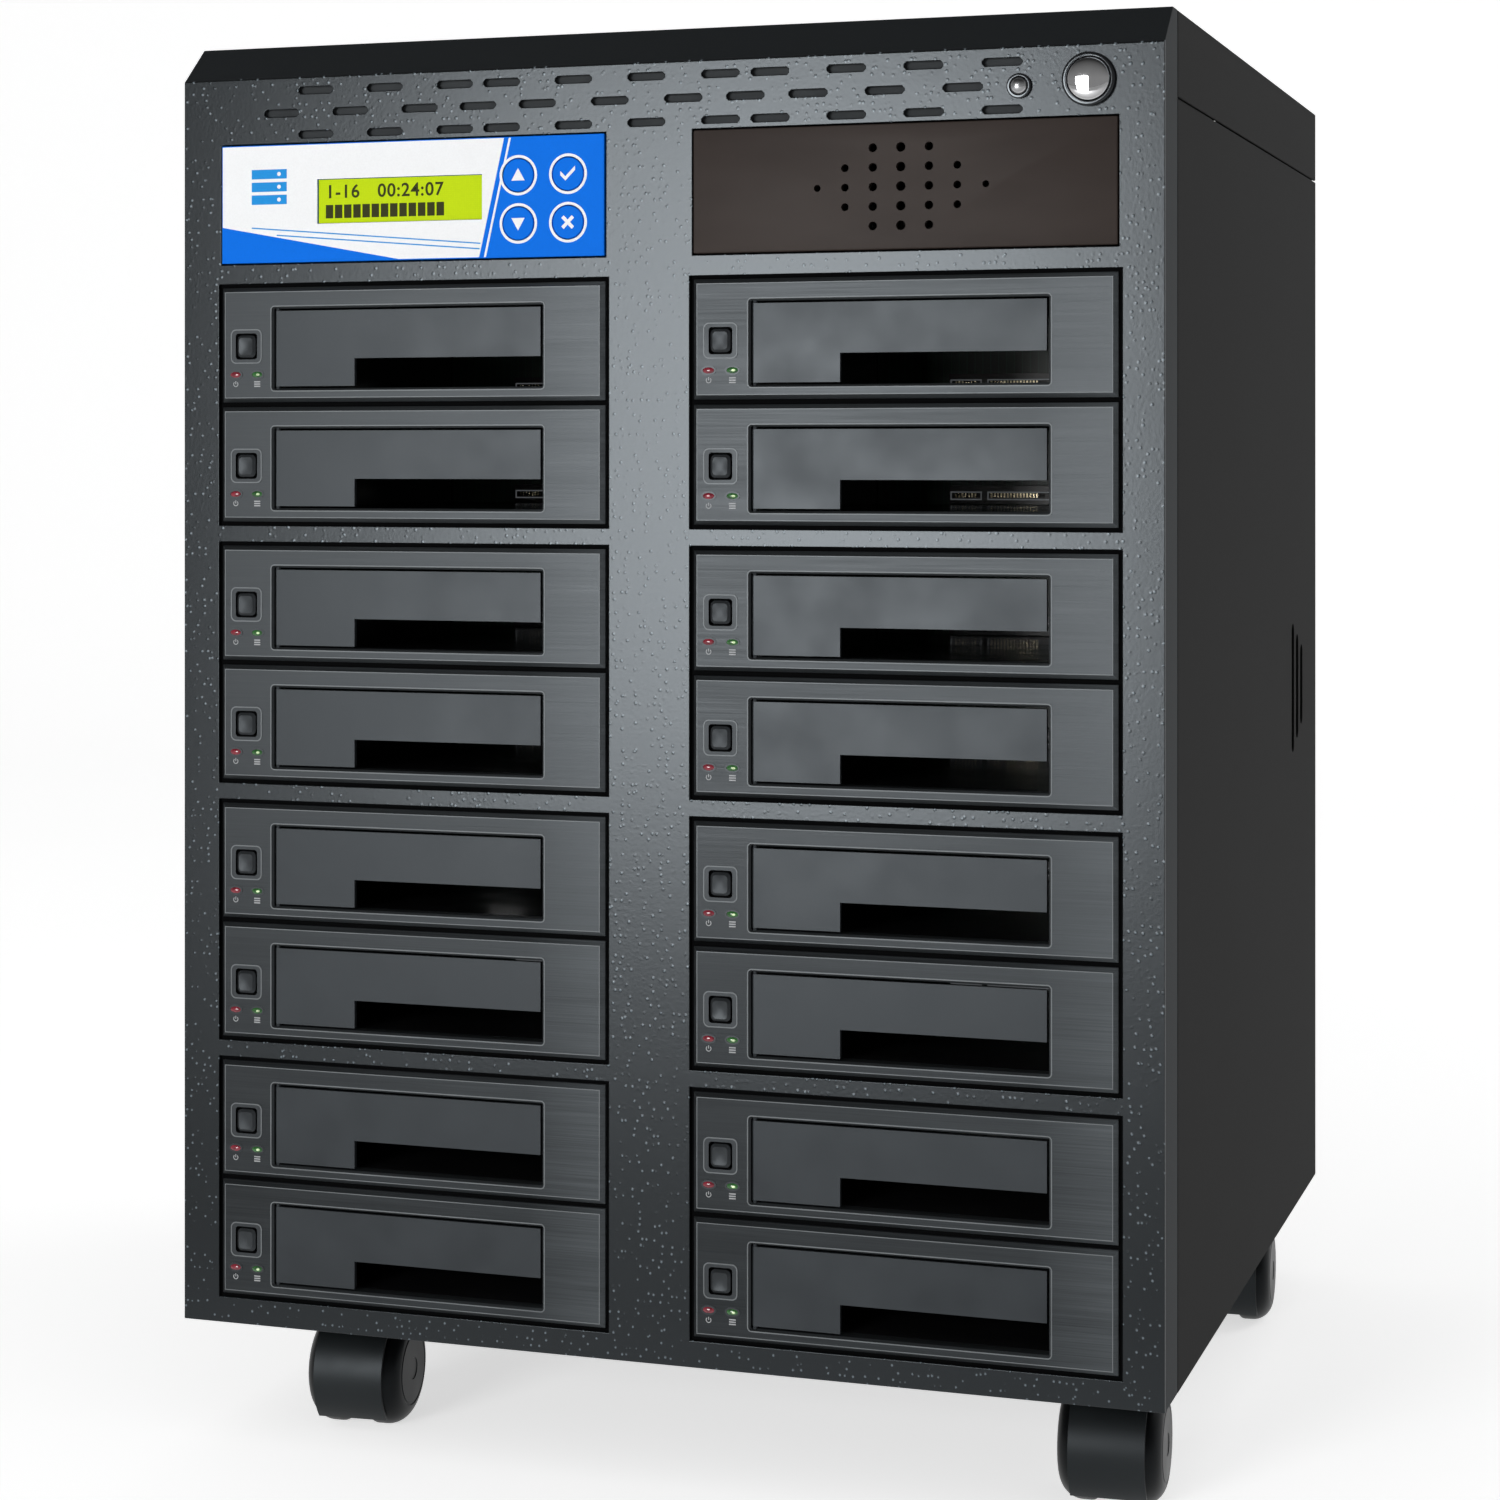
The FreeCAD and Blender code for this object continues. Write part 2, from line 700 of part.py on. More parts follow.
def build_rear_wall():
    """Back sheet with the power supply's window and the punched fan grille."""
    wall = box("wall_blank", ("-inner_side", "inner_side"), ("wall_inside", "rear"),
               ("bottom", "top - sheet - fit"))
    window = box("supply_window",
                 ("-supply_left + supply_rim", "-supply_left + supply_width - supply_rim"),
                 ("rear - 2 * sheet", "rear + sheet"),
                 ("supply_low + supply_rim", "supply_low + supply_height - supply_rim"))
    rings = fuse("grille_rings", *[grille_ring(i) for i in range(GRILLE_RINGS)])
    half = f"(fan_hub / 2 + {GRILLE_RINGS} * (grille_ring + grille_rib))"
    ribs = []
    for i, turn in enumerate((45, 135)):
        rib = doc.addObject("Part::Box", f"grille_rib_{i}")
        bind(rib, "Length", f"2 * {half}")
        bind(rib, "Width", "5 * sheet")
        bind(rib, "Height", "grille_rib")
        rib.Placement.Rotation = FreeCAD.Rotation(FreeCAD.Vector(0, 1, 0), turn)
        direction = rib.Placement.Rotation.multVec(FreeCAD.Vector(1, 0, 0))
        across = rib.Placement.Rotation.multVec(FreeCAD.Vector(0, 0, 1))
        place(rib,
              f"fan_x - {half} * ({direction.x:.6f}) - grille_rib / 2 * ({across.x:.6f})",
              "rear - 3 * sheet",
              f"fan_z - {half} * ({direction.z:.6f}) - grille_rib / 2 * ({across.z:.6f})")
        ribs.append(rib)
    gaps = cut("grille_gaps", rings, *ribs)
    return cut("rear_wall", wall, window, gaps)


def build_chassis():
    """The riveted steel frame: base pan, four bay plates and the rear wall."""
    plates = []
    for sign, column in (("-", "left"), ("", "right")):
        centre = f"{sign}column_centre"
        reach = "(cage_width / 2 + fit)"
        for edge, low, high in (
                ("outer", f"{centre} - {reach} - bay_sheet", f"{centre} - {reach}"),
                ("inner", f"{centre} + {reach}", f"{centre} + {reach} + bay_sheet")):
            plates.append(box(f"bay_plate_{column}_{edge}", (low, high),
                              ("frame_front", "frame_front + cage_length"),
                              ("pan_top", "face_top - sheet - fit")))
    return node("chassis", copies("chassis", build_base_pan(), build_rear_wall(), *plates))


# ---------------------------------------------------------------------------
# Drive racks: one of each piece is drawn at the origin, then set in sixteen bays
# ---------------------------------------------------------------------------
def build_bezel():
    """Front moulding of a rack, with the door pocket, hinge slots, button and lamp holes."""
    body = new_body("bezel_pattern")
    face = "front - bezel_proud"
    profile = sketch_on(body, "XZ", face)
    rectangle(profile, ("0", "bezel_width"), ("0", "bezel_height"))
    pad(body, profile, "bezel_proud + bezel_back", reverse=True)
    bevel(body, "bezel_bevel", ("0", face, "0"), ("bezel_width", face, "bezel_height"))
    right = "door_pocket_left + door_pocket_width"
    high = "door_pocket_bottom + door_pocket_height"
    door = sketch_on(body, "XZ", face)
    rectangle(door, ("door_pocket_left", right), ("door_pocket_bottom", high))
    pocket(body, door)
    bevel(body, "pocket_bevel", ("door_pocket_left", face, "door_pocket_bottom"),
          (right, face, high))

    recess = sketch_on(body, "XZ", face)
    half = "button_recess / 2"
    rectangle(recess, (f"button_centre_x - {half}", f"button_centre_x + {half}"),
              (f"button_centre_z - {half}", f"button_centre_z + {half}"))
    pocket(body, recess, "button_recess_depth")
    holes = sketch_on(body, "XZ", face)
    rectangle(holes,
              ("button_centre_x - button_width / 2 - fit", "button_centre_x + button_width / 2 + fit"),
              ("button_centre_z - button_height / 2 - fit",
               "button_centre_z + button_height / 2 + fit"))
    for lens in ("lens_red_x", "lens_green_x"):
        rectangle(holes, (f"{lens} - lens_width / 2", f"{lens} + lens_width / 2"),
                  ("lens_z - lens_height / 2", "lens_z + lens_height / 2"))
    pocket(body, holes)

    # slots, open to the rear, that the hinge pins of the door snap into
    hinge = sketch_on(body, "XY", "door_pocket_bottom - hinge_pin_length - fit")
    reach = "hinge_pin / 2 + pin_play"
    rectangle(hinge, (f"hinge_x - ({reach})", f"hinge_x + {reach}"),
              (f"hinge_y - ({reach})", "frame_front + fit"))
    pocket(body, hinge, "door_pocket_height + 2 * (hinge_pin_length + fit)", reverse=True)
    return body


def build_door():
    """L-shaped door with its two hinge pins on the left edge."""
    body = new_body("door_plate")
    profile = sketch_on(body, "XZ", "door_front")
    left = "door_pocket_left + hinge_gap"
    step = "door_pocket_left + notch_left"
    ledge = "door_pocket_bottom + notch_height"
    outline(profile, [
        (left, "door_low"), (step, "door_low"), (step, ledge),
        ("door_right", ledge), ("door_right", "door_high"), (left, "door_high")])
    pad(body, profile, "door_thickness", reverse=True)
    back = "door_front + door_thickness"
    bevel(body, "door_corner", (left, "door_front", "door_low"), (left, "door_front", "door_high"))
    bevel(body, "door_corner", (left, back, "door_low"), (left, back, "door_high"))
    pin = prism("hinge_pins", "Z", "hinge_pin / 2",
                "door_high - door_low + 2 * (door_gap + hinge_pin_length)", PIN_SIDES,
                "hinge_x", "hinge_y", "door_low - door_gap - hinge_pin_length")
    return fuse("door_pattern", body, pin)


def build_button():
    """Square push button with a bevelled face."""
    body = new_body("button_pattern")
    face = "front - bezel_proud - button_proud"
    profile = sketch_on(body, "XZ", face)
    x = ("button_centre_x - button_width / 2", "button_centre_x + button_width / 2")
    z = ("button_centre_z - button_height / 2", "button_centre_z + button_height / 2")
    rectangle(profile, x, z)
    pad(body, profile, "button_length", reverse=True)
    bevel(body, "button_bevel", (x[0], face, z[0]), (x[1], face, z[1]))
    return body


def build_lens(name, centre):
    """A light pipe that fills one lamp hole of the bezel."""
    return box(name,
               (f"{centre} - lens_width / 2 + lens_play", f"{centre} + lens_width / 2 - lens_play"),
               ("front - bezel_proud + lens_play", "frame_front"),
               ("lens_z - lens_height / 2 + lens_play", "lens_z + lens_height / 2 - lens_play"))


def build_cage():
    """Bent steel channel behind a bezel: outer cheeks, inner guides and a raised deck."""
    body = new_body("cage_pattern")
    profile = sketch_on(body, "XZ", "frame_front")
    left = "(bezel_width - cage_width) / 2"
    right = "(bezel_width + cage_width) / 2"
    low = "fit"
    rail_left = "door_pocket_left"
    rail_right = "door_pocket_left + door_pocket_width"
    deck = "door_pocket_bottom"
    rail_top = "door_pocket_bottom + door_pocket_height"
    thick = "cage_sheet"
    outline(profile, [
        (left, low),
        (rail_left, low),
        (rail_left, f"{deck} - {thick}"),
        (rail_right, f"{deck} - {thick}"),
        (rail_right, low),
        (right, low),
        (right, "cage_height"),
        (f"{right} - {thick}", "cage_height"),
        (f"{right} - {thick}", f"{low} + {thick}"),
        (f"{rail_right} + {thick}", f"{low} + {thick}"),
        (f"{rail_right} + {thick}", rail_top),
        (rail_right, rail_top),
        (rail_right, deck),
        (rail_left, deck),
        (rail_left, rail_top),
        (f"{rail_left} - {thick}", rail_top),
        (f"{rail_left} - {thick}", f"{low} + {thick}"),
        (f"{left} + {thick}", f"{low} + {thick}"),
        (f"{left} + {thick}", "cage_height"),
        (left, "cage_height")])
    pad(body, profile, "cage_length", reverse=True)
    return body


def build_backplane():
    """Connector board across the back of a cage, with its drive socket."""
    middle = "door_pocket_left + door_pocket_width / 2"
    plate = box("backplane_plate",
                ("door_pocket_left + fit", "door_pocket_left + door_pocket_width - fit"),
                ("board_front", "board_front + board_thickness"),
                ("door_pocket_bottom", "door_pocket_bottom + door_pocket_height"))
    low = "door_pocket_bottom + fit"
    socket = box("socket_block", (f"{middle} - connector_width / 2",
                                  f"{middle} + connector_width / 2"),
                 ("board_front - connector_depth", "board_front"),
                 (low, f"{low} + connector_height"))
    gap = "connector_height / 3"
    signal = box("signal_slot",
                 (f"{middle} - connector_width / 2 + {gap} / 2", f"{middle} - connector_width / 5"),
                 ("board_front - connector_depth - fit", "board_front - connector_floor"),
                 (f"{low} + {gap}", f"{low} + 2 * {gap}"))
    power = box("power_slot",
                (f"{middle} - connector_width / 8", f"{middle} + connector_width / 2 - {gap} / 2"),
                ("board_front - connector_depth - fit", "board_front - connector_floor"),
                (f"{low} + {gap}", f"{low} + 2 * {gap}"))
    return cut("backplane_pattern", fuse("backplane_blank", plate, socket), signal, power)


def rack_places():
    """Lower left corner of each bezel: the left column first, each from the top down."""
    places = []
    for sign in ("-", ""):
        for pair in reversed(range(PAIRS)):
            for upper in (1, 0):
                x = f"{sign}column_centre - bezel_width / 2"
                z = (f"cutouts_low + {pair} * pair_pitch + bezel_gap"
                     f" + {upper} * (bezel_height + pair_split)")
                places.append((x, z))
    return places


def build_racks():
    bezel, door, button = build_bezel(), build_door(), build_button()
    cage, backplane = build_cage(), build_backplane()
    lenses = [build_lens("lens_red", "lens_red_x"), build_lens("lens_green", "lens_green_x")]
    doc.recompute()

    def set_in_bays(name, *pieces):
        """One copy of the pieces in every bay."""
        rows = []
        for number, (x, z) in enumerate(rack_places(), start=1):
            rows.append(place(copies(f"{name}_in_bay_{number:02d}", *pieces), x, "0", z))
        return rows

    node("rack_bezels", copies("rack_bezels", *set_in_bays("bezel", bezel)))
    node("rack_cages", copies("rack_cages", *set_in_bays("cage", cage)))
    node("rack_backplanes", copies("rack_backplanes", *set_in_bays("backplane", backplane)))
    lamps = set_in_bays("lamps", *lenses)
    node("indicator_lamps", copies("indicator_lamps", build_power_lamp(), *lamps))
    for name, pattern in (("drive_door", door), ("rack_button", button)):
        for number, piece in enumerate(set_in_bays(name, pattern), start=1):
            node(f"{name}_{number:02d}", piece)


# ---------------------------------------------------------------------------
# Top bays: control panel on the left, vented plate on the right
# ---------------------------------------------------------------------------
def fascia_blank(name, centre):
    """A shallow moulded tray whose rim rests on the bay plates."""
    body = new_body(name)
    left, right = f"{centre} - fascia_width / 2", f"{centre} + fascia_width / 2"
    high = "fascia_low + fascia_height"
    face = "front - fascia_proud"
    profile = sketch_on(body, "XZ", face)
    rectangle(profile, (left, right), ("fascia_low", high))
    pad(body, profile, "fascia_proud + bezel_back", reverse=True)
    doc.recompute()
    hollow = sketch_on(body, "XZ", "frame_front")
    wall = "fascia_wall"
    rectangle(hollow, (f"{left} + {wall}", f"{right} - {wall}"),
              (f"fascia_low + {wall}", f"{high} - {wall}"))
    pocket(body, hollow, f"fascia_proud + bezel_back - {wall}", reverse=True)
    return body


def key_places():
    """Middle of each key: x and z formulas."""
    left = "-column_centre - fascia_width / 2"
    high = "fascia_low + fascia_height"
    places = {}
    for name, across, down in (("up", 0, 0), ("down", 0, 1), ("enter", 1, 0), ("back", 1, 1)):
        places[name] = (f"{left} + key_left + {across} * key_pitch_x",
                        f"{high} - key_top - {down} * key_pitch_z")
    return places


def build_control_panel():
    body = fascia_blank("control_panel", "-column_centre")
    left = "-column_centre - fascia_width / 2 + window_left"
    high = "fascia_low + fascia_height - window_top"
    holes = sketch_on(body, "XZ", "front - fascia_proud")
    rectangle(holes, (left, f"{left} + window_width"), (f"{high} - window_height", high))
    for x, z in key_places().values():
        circle(holes, x, z, "key_diameter / 2 + key_play")
    pocket(body, holes)
    node("control_panel", body)

    # circuit board with the display and one small switch behind each key
    fascia_inside = "front - fascia_proud + fascia_wall"
    board = box("circuit_plate",
                ("-column_centre - fascia_width / 2 + circuit_side_gap",
                 "-column_centre + fascia_width / 2 - circuit_side_gap"),
                ("front + circuit_back", "front + circuit_back + board_thickness"),
                ("fascia_low + circuit_edge_gap",
                 "fascia_low + fascia_height - circuit_edge_gap"))
    rim = "fascia_wall"
    display = box("display_frame", (f"{left} - {rim}", f"{left} + window_width + {rim}"),
                  (fascia_inside, "front + circuit_back"),
                  (f"{high} - window_height - {rim}", f"{high} + {rim}"))
    glass = box("display_glass",
                (f"{left} + window_play", f"{left} + window_width - window_play"),
                ("front - fascia_proud + glass_sunk", fascia_inside),
                (f"{high} - window_height + window_play", f"{high} - window_play"))
    switches = []
    for name, (x, z) in key_places().items():
        switches.append(box(f"key_switch_{name}",
                            (f"{x} - key_diameter / 4", f"{x} + key_diameter / 4"),
                            ("front - key_proud - fascia_proud + key_length + key_travel + fit",
                             "front + circuit_back"),
                            (f"{z} - key_diameter / 4", f"{z} + key_diameter / 4")))
    node("control_board", fuse("control_board", board, display, glass, *switches))
    for name, (x, z) in key_places().items():
        node(f"key_{name}", rod(f"key_{name}", "Y", "key_diameter / 2", "key_length",
                                x, "front - fascia_proud - key_proud", z))


def build_vent_plate():
    """Smoked plate with a diamond of holes that get smaller towards its ends."""
    body = fascia_blank("vent_plate_blank", "column_centre")
    holes = []
    middle = len(VENT_ROWS) // 2
    for line, number in enumerate(VENT_ROWS):
        z = f"fascia_low + fascia_height / 2 + {middle - line} * vent_pitch_z"
        for i in range(number):
            step = i - (number - 1) / 2
            radius = f"vent_hole / 2 * {1 - 0.09 * abs(step):.2f}"
            holes.append(prism(f"vent_hole_{line}_{i}", "Y", radius, "2 * fascia_wall", HOLE_SIDES,
                               f"column_centre + {step} * vent_pitch_x",
                               "front - fascia_proud - fascia_wall / 2", z))
    return node("vent_plate", cut("vent_plate", body, *holes))


def build_power_switch():
    """Push switch with a raised ring and a domed cap, and the lamp beside it."""
    centre = ("switch_x", "switch_z")
    flange = rod("switch_flange", "Y", "switch_ring / 2", "switch_ring_proud",
                 centre[0], "front - switch_ring_proud", centre[1])
    barrel = rod("switch_barrel", "Y", "switch_barrel / 2", "switch_bore_end + switch_floor - front",
                 centre[0], "front", centre[1])
    bore = rod("switch_bore", "Y", "switch_cap / 2 + switch_cap_play",
               "switch_bore_end - front + switch_ring_proud",
               centre[0], "front - switch_ring_proud", centre[1])
    ring = cut("power_switch_body", fuse("switch_blank", flange, barrel), bore)
    node("power_switch_body", ring)

    cap = new_body("power_button")
    profile = sketch_on(cap, "XY", "switch_z")
    radius = "switch_cap / 2"
    face = "front - switch_cap_proud"
    outline(profile, [
        ("switch_x", face),
        ("switch_x + switch_cap_flat / 2", f"{face} + switch_cap_crown"),
        (f"switch_x + {radius}", f"{face} + switch_cap_round"),
        (f"switch_x + {radius}", f"{face} + switch_cap_length"),
        ("switch_x", f"{face} + switch_cap_length")])
    turned(cap, profile)
    node("power_button", cap)


def turned(body, drawing):
    """Turn an outline about the line along the sketch's upward axis through its first point."""
    start = drawing.getPoint(0, 1)
    index = drawing.addGeometry(
        Part.LineSegment(start, FreeCAD.Vector(start.x, start.y + 10, 0)), True)
    drawing.addConstraint(Sketcher.Constraint("Coincident", index, 1, 0, 1))
    drawing.addConstraint(Sketcher.Constraint("Vertical", index))
    drawing.addConstraint(Sketcher.Constraint("DistanceY", index, 1, index, 2, 10))
    turn = body.newObject("PartDesign::Revolution", body.Name + "_turn")
    turn.Profile = drawing
    turn.ReferenceAxis = (drawing, ["Axis0"])
    turn.Angle = 360
    return turn


def build_power_lamp():
    """Panel lamp, turned about its own axis: holder, stem and rounded lens tip."""
    body = new_body("power_lamp")
    profile = sketch_on(body, "XY", "lamp_z")
    lens = "lamp_dome / 2"
    outline(profile, [
        ("lamp_x", "front - lamp_proud"),
        ("lamp_x + lamp_tip / 2", "front - lamp_proud"),
        (f"lamp_x + {lens}", "front - lamp_holder_proud"),
        ("lamp_x + lamp_holder / 2", "front - lamp_holder_proud"),
        ("lamp_x + lamp_holder / 2", "front"),
        (f"lamp_x + {lens}", "front"),
        (f"lamp_x + {lens}", "front + lamp_stem"),
        ("lamp_x", "front + lamp_stem")])
    turned(body, profile)
    return body


# ---------------------------------------------------------------------------
# Casters: one wheel pair and one hood at the origin of the swivel, then four copies
# ---------------------------------------------------------------------------
def build_wheel(name, side):
    """One wheel of the pair, turned about the axle along X; side is + or -."""
    body = new_body(name)
    inner, outer = "wheel_gap / 2", "wheel_gap / 2 + wheel_width"
    bore = "axle_diameter / 2 + axle_play"
    bore_end = f"{outer} - wheel_wall"
    profile = sketch_on(body, "XY")
    tread = f"{inner} + wheel_inner_round"
    crown = f"{tread} + wheel_tread + wheel_crown"
    outline(profile, [
        (f"{side}({inner})", bore),
        (f"{side}({inner})", "wheel_radius - wheel_inner_round"),
        (f"{side}({tread})", "wheel_radius"),
        (f"{side}({tread} + wheel_tread)", "wheel_radius"),
        (f"{side}({crown})", "wheel_radius - wheel_crown_fall"),
        (f"{side}({outer})", "wheel_radius - wheel_crown_fall - wheel_side_fall"),
        (f"{side}({outer})", "0"),
        (f"{side}({bore_end})", "0"),
        (f"{side}({bore_end})", bore)])
    turn = body.newObject("PartDesign::Revolution", name + "_turn")
    turn.Profile = profile
    turn.ReferenceAxis = (body.Origin.OriginFeatures[0], [""])
    turn.Angle = 360
    return body


def build_hood():
    """Fender over both wheels, the web between them, the axle and the swivel boss."""
    low = "wheel_radius - hood_front_gap"
    shell = cut("hood_shell",
                rod("hood_drum", "X", "hood_outer", "hood_width", "-hood_width / 2"),
                rod("hood_hollow", "X", "hood_inner", "2 * hood_width", "-hood_width"))
    web = rod("hood_web", "X", "hood_outer", "hood_web", "-hood_web / 2")
    beyond = "2 * hood_outer"
    under = box("hood_under", ("-hood_width", "hood_width"), (f"-{beyond}", beyond),
                (f"-{beyond}", f"-({low})"))
    behind = box("hood_behind", ("-hood_width", "hood_width"), ("0", beyond),
                 (f"-{beyond}", "0"))
    drum = cut("hood_drum_cut", fuse("hood_blank", shell, web), under, behind)
    reach = "(wheel_gap / 2 + wheel_width - wheel_wall - fit)"
    axle = rod("hood_axle", "X", "axle_diameter / 2", f"2 * {reach}", f"-{reach}")
    return drum, axle


def build_casters():
    wheels = [build_wheel("wheel_left", "-"), build_wheel("wheel_right", "")]
    drum, axle = build_hood()
    # the boss and pin stand behind the axle by the trail
    boss = rod("hood_boss", "Z", "swivel_boss / 2", "boss_top - wheel_radius - swivel_boss_rise",
               "0", "caster_trail", "swivel_boss_rise")
    boss_clear = [
        rod("boss_clear_left", "X", "hood_inner", "wheel_width", "-wheel_gap / 2 - wheel_width"),
        rod("boss_clear_right", "X", "hood_inner", "wheel_width", "wheel_gap / 2"),
    ]
    neck = cut("hood_neck", boss, *boss_clear)
    pin = rod("hood_pin", "Z", "swivel_pin / 2",
              "caster_pad_thickness + base_sheet + fit - swivel_pin_sunk",
              "0", "caster_trail", "boss_top - wheel_radius")
    hood = fuse("hood_whole", drum, axle, neck, pin)
    for corner, (x, y, turn) in CASTERS.items():
        for name, pieces in (("caster_hood", (hood,)), ("caster_wheels", wheels)):
            standing = copies(f"{name}_{corner}_straight", *pieces)
            place(standing, "0", "-caster_trail", "wheel_radius")
            piece = copies(f"{name}_{corner}", standing)
            bind(piece, "Placement.Rotation.Angle", turn)
            place(piece, x, y)
            node(f"{name}_{corner}", piece)


# ---------------------------------------------------------------------------
# Power supply and fan
# ---------------------------------------------------------------------------
def build_power_supply():
    """Vented supply case; its raised back fills the window of the rear wall."""
    left, right = "-supply_left", "-supply_left + supply_width"
    high = "supply_low + supply_height"
    case = box("supply_case", (left, right), ("wall_inside - supply_depth", "wall_inside"),
               ("supply_low", high))
    rim = "supply_rim + fit"
    back = box("supply_back", (f"{left} + {rim}", f"{right} - ({rim})"), ("wall_inside", "rear"),
               (f"supply_low + {rim}", f"{high} - ({rim})"))
    hollow = box("supply_hollow", (f"{left} + supply_wall", f"{right} - supply_wall"),
                 ("wall_inside - supply_depth + supply_wall", "wall_inside - supply_wall"),
                 ("supply_low + supply_wall", f"{high} - supply_wall"))
    vents = []
    for i in range(SUPPLY_VENTS):
        x = f"{right} - supply_vent_inset - {i} * supply_vent_pitch"
        vents.append(box(f"supply_vent_{i}", (f"{x} - supply_vent_width", x),
                         ("wall_inside - 2 * supply_wall", "rear + sheet"),
                         ("supply_low + supply_vent_margin", f"{high} - supply_vent_margin")))
    shell = cut("supply_shell", fuse("supply_blank", case, back), hollow, *vents)

    # mains inlet: a cup with three flat pins
    inlet_x = f"{left} + inlet_left"
    middle = "supply_low + supply_height / 2"
    floor = "rear - inlet_depth"
    across = (inlet_x, f"{inlet_x} + inlet_width")
    upright = (f"{middle} - inlet_height / 2", f"{middle} + inlet_height / 2")
    cup = box("inlet_cup",
              (f"{across[0]} - inlet_wall", f"{across[1]} + inlet_wall"),
              (f"{floor} - inlet_wall", "wall_inside"),
              (f"{upright[0]} - inlet_wall", f"{upright[1]} + inlet_wall"))
    recess = box("inlet_recess", across, (floor, "rear + sheet"), upright)
    pins = []
    for i, rise in ((-1, "0"), (0, "inlet_earth_rise"), (1, "0")):
        x = f"{inlet_x} + inlet_width / 2 + {i} * inlet_pin_pitch"
        z = f"{middle} - inlet_earth_rise / 2 + {rise}"
        pins.append(box(f"inlet_pin_{i + 1}", (f"{x} - inlet_pin_width / 2", f"{x} + inlet_pin_width / 2"),
                        (floor, f"{floor} + inlet_pin_length"),
                        (f"{z} - inlet_pin_height / 2", f"{z} + inlet_pin_height / 2")))
    body = cut("supply_with_inlet", fuse("supply_and_cup", shell, cup), recess)
    return node("power_supply", fuse("power_supply", body, *pins))


def build_fan():
    """Rear fan: square frame with a bore, hub and struts, and the bladed rotor."""
    half = "fan_size / 2"
    block = box("fan_block", (f"fan_x - {half}", f"fan_x + {half}"),
                ("wall_inside - fan_depth", "wall_inside"),
                (f"fan_z - {half}", f"fan_z + {half}"))
    bore = rod("fan_bore_tool", "Y", "fan_bore / 2", "2 * fan_depth",
               "fan_x", "wall_inside - 1.5 * fan_depth", "fan_z")
    disc_front = "wall_inside - fan_strut"
    hub = rod("fan_hub_disc", "Y", "fan_hub / 2", "fan_strut", "fan_x", disc_front, "fan_z")
    reach = "(fan_bore / 2 + fan_strut / 2)"
    thick = "fan_strut / 2"
    struts = [
        box("fan_strut_flat", (f"fan_x - {reach}", f"fan_x + {reach}"),
            (disc_front, "wall_inside"), (f"fan_z - {thick}", f"fan_z + {thick}")),
        box("fan_strut_upright", (f"fan_x - {thick}", f"fan_x + {thick}"),
            (disc_front, "wall_inside"), (f"fan_z - {reach}", f"fan_z + {reach}")),
    ]
    axle = rod("fan_axle", "Y", "fan_axle / 2", "fan_axle_length",
               "fan_x", f"{disc_front} - fan_axle_length", "fan_z")
    node("rear_fan", fuse("rear_fan", cut("fan_frame", block, bore), hub, axle, *struts))

    tip = "(fan_bore / 2 - fan_tip_play)"
    start = f"{disc_front} - fan_rotor_gap - fan_rotor_depth"
    core = rod("rotor_hub", "Y", "fan_rotor_hub / 2", "fan_rotor_depth", "fan_x", start, "fan_z")
    blades = []
    for i in range(BLADES):
        blade = doc.addObject("Part::Box", f"blade_{i}")
        bind(blade, "Length", f"{tip} - fan_rotor_hub / 2 + blade_root")
        bind(blade, "Width", "blade_chord")
        bind(blade, "Height", "blade_thickness")
        blade.Placement.Rotation = FreeCAD.Rotation(FreeCAD.Vector(1, 0, 0), value("blade_pitch"))
        bind(blade, "Placement.Rotation.Angle", "blade_pitch")
        place(blade, "fan_rotor_hub / 2 - blade_root",
              "-blade_chord / 2 * cos(blade_pitch)", "-blade_chord / 2 * sin(blade_pitch)")
        arm = copies(f"blade_arm_{i}", blade)
        arm.Placement.Rotation = FreeCAD.Rotation(FreeCAD.Vector(0, 1, 0), 360.0 * i / BLADES)
        blades.append(place(arm, "fan_x", f"{start} + fan_rotor_depth / 2", "fan_z"))
    trimmed = doc.addObject("Part::Common", "rotor_blades")
    trimmed.Base = fuse("rotor_arms", *blades)
    trimmed.Tool = rod("rotor_sweep", "Y", tip, "fan_rotor_depth", "fan_x", start, "fan_z")
    shaft_bore = rod("rotor_bore", "Y", "fan_axle / 2 + fan_axle_play", "fan_axle_length + fit",
                     "fan_x", f"{disc_front} - fan_axle_length - fit", "fan_z")
    return node("fan_rotor", cut("fan_rotor", fuse("rotor_whole", core, trimmed), shaft_bore))


build_front_panel()
build_top_cover()
build_side_panels()
build_chassis()
build_racks()
build_control_panel()
build_vent_plate()
build_power_switch()
build_casters()
build_power_supply()
build_fan()

doc.recompute()

# ---------------------------------------------------------------------------
# Check every object, then write one STEP file for each sub-part
# ---------------------------------------------------------------------------
for thing in doc.Objects:
    if {"Invalid", "Error"} & set(thing.State):
        raise RuntimeError(f"{thing.Name} failed: {thing.State}")
os.makedirs("parts", exist_ok=True)
for label, thing in nodes.items():
    shape = thing.Shape
    if shape.isNull() or not shape.isValid():
        raise RuntimeError(f"{label} has no valid shape")
    shape.exportStep(f"parts/{label}.step")
    print(f"{label}: {len(shape.Solids)} solids, {shape.Volume / 1000:.1f} cm3")
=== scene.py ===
# %% [markdown]
# # A sixteen-bay drive duplicator
#
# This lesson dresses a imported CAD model: a dark steel tower with sixteen hinged drive bays, a small
# control panel, a smoked vent plate and four twin-wheel casters. The CAD pieces stay where they are.
# Blender gives each of them its finish, softens its edges, and adds the small things that a model for
# construction leaves out: printed signs, lamps, screws, contacts and the display.
#
# The frame comes first. It names every body and node, and gives their places in metres.

# %% Load the frame
import json
import math

import bmesh
import bpy
from mathutils import Matrix, Vector


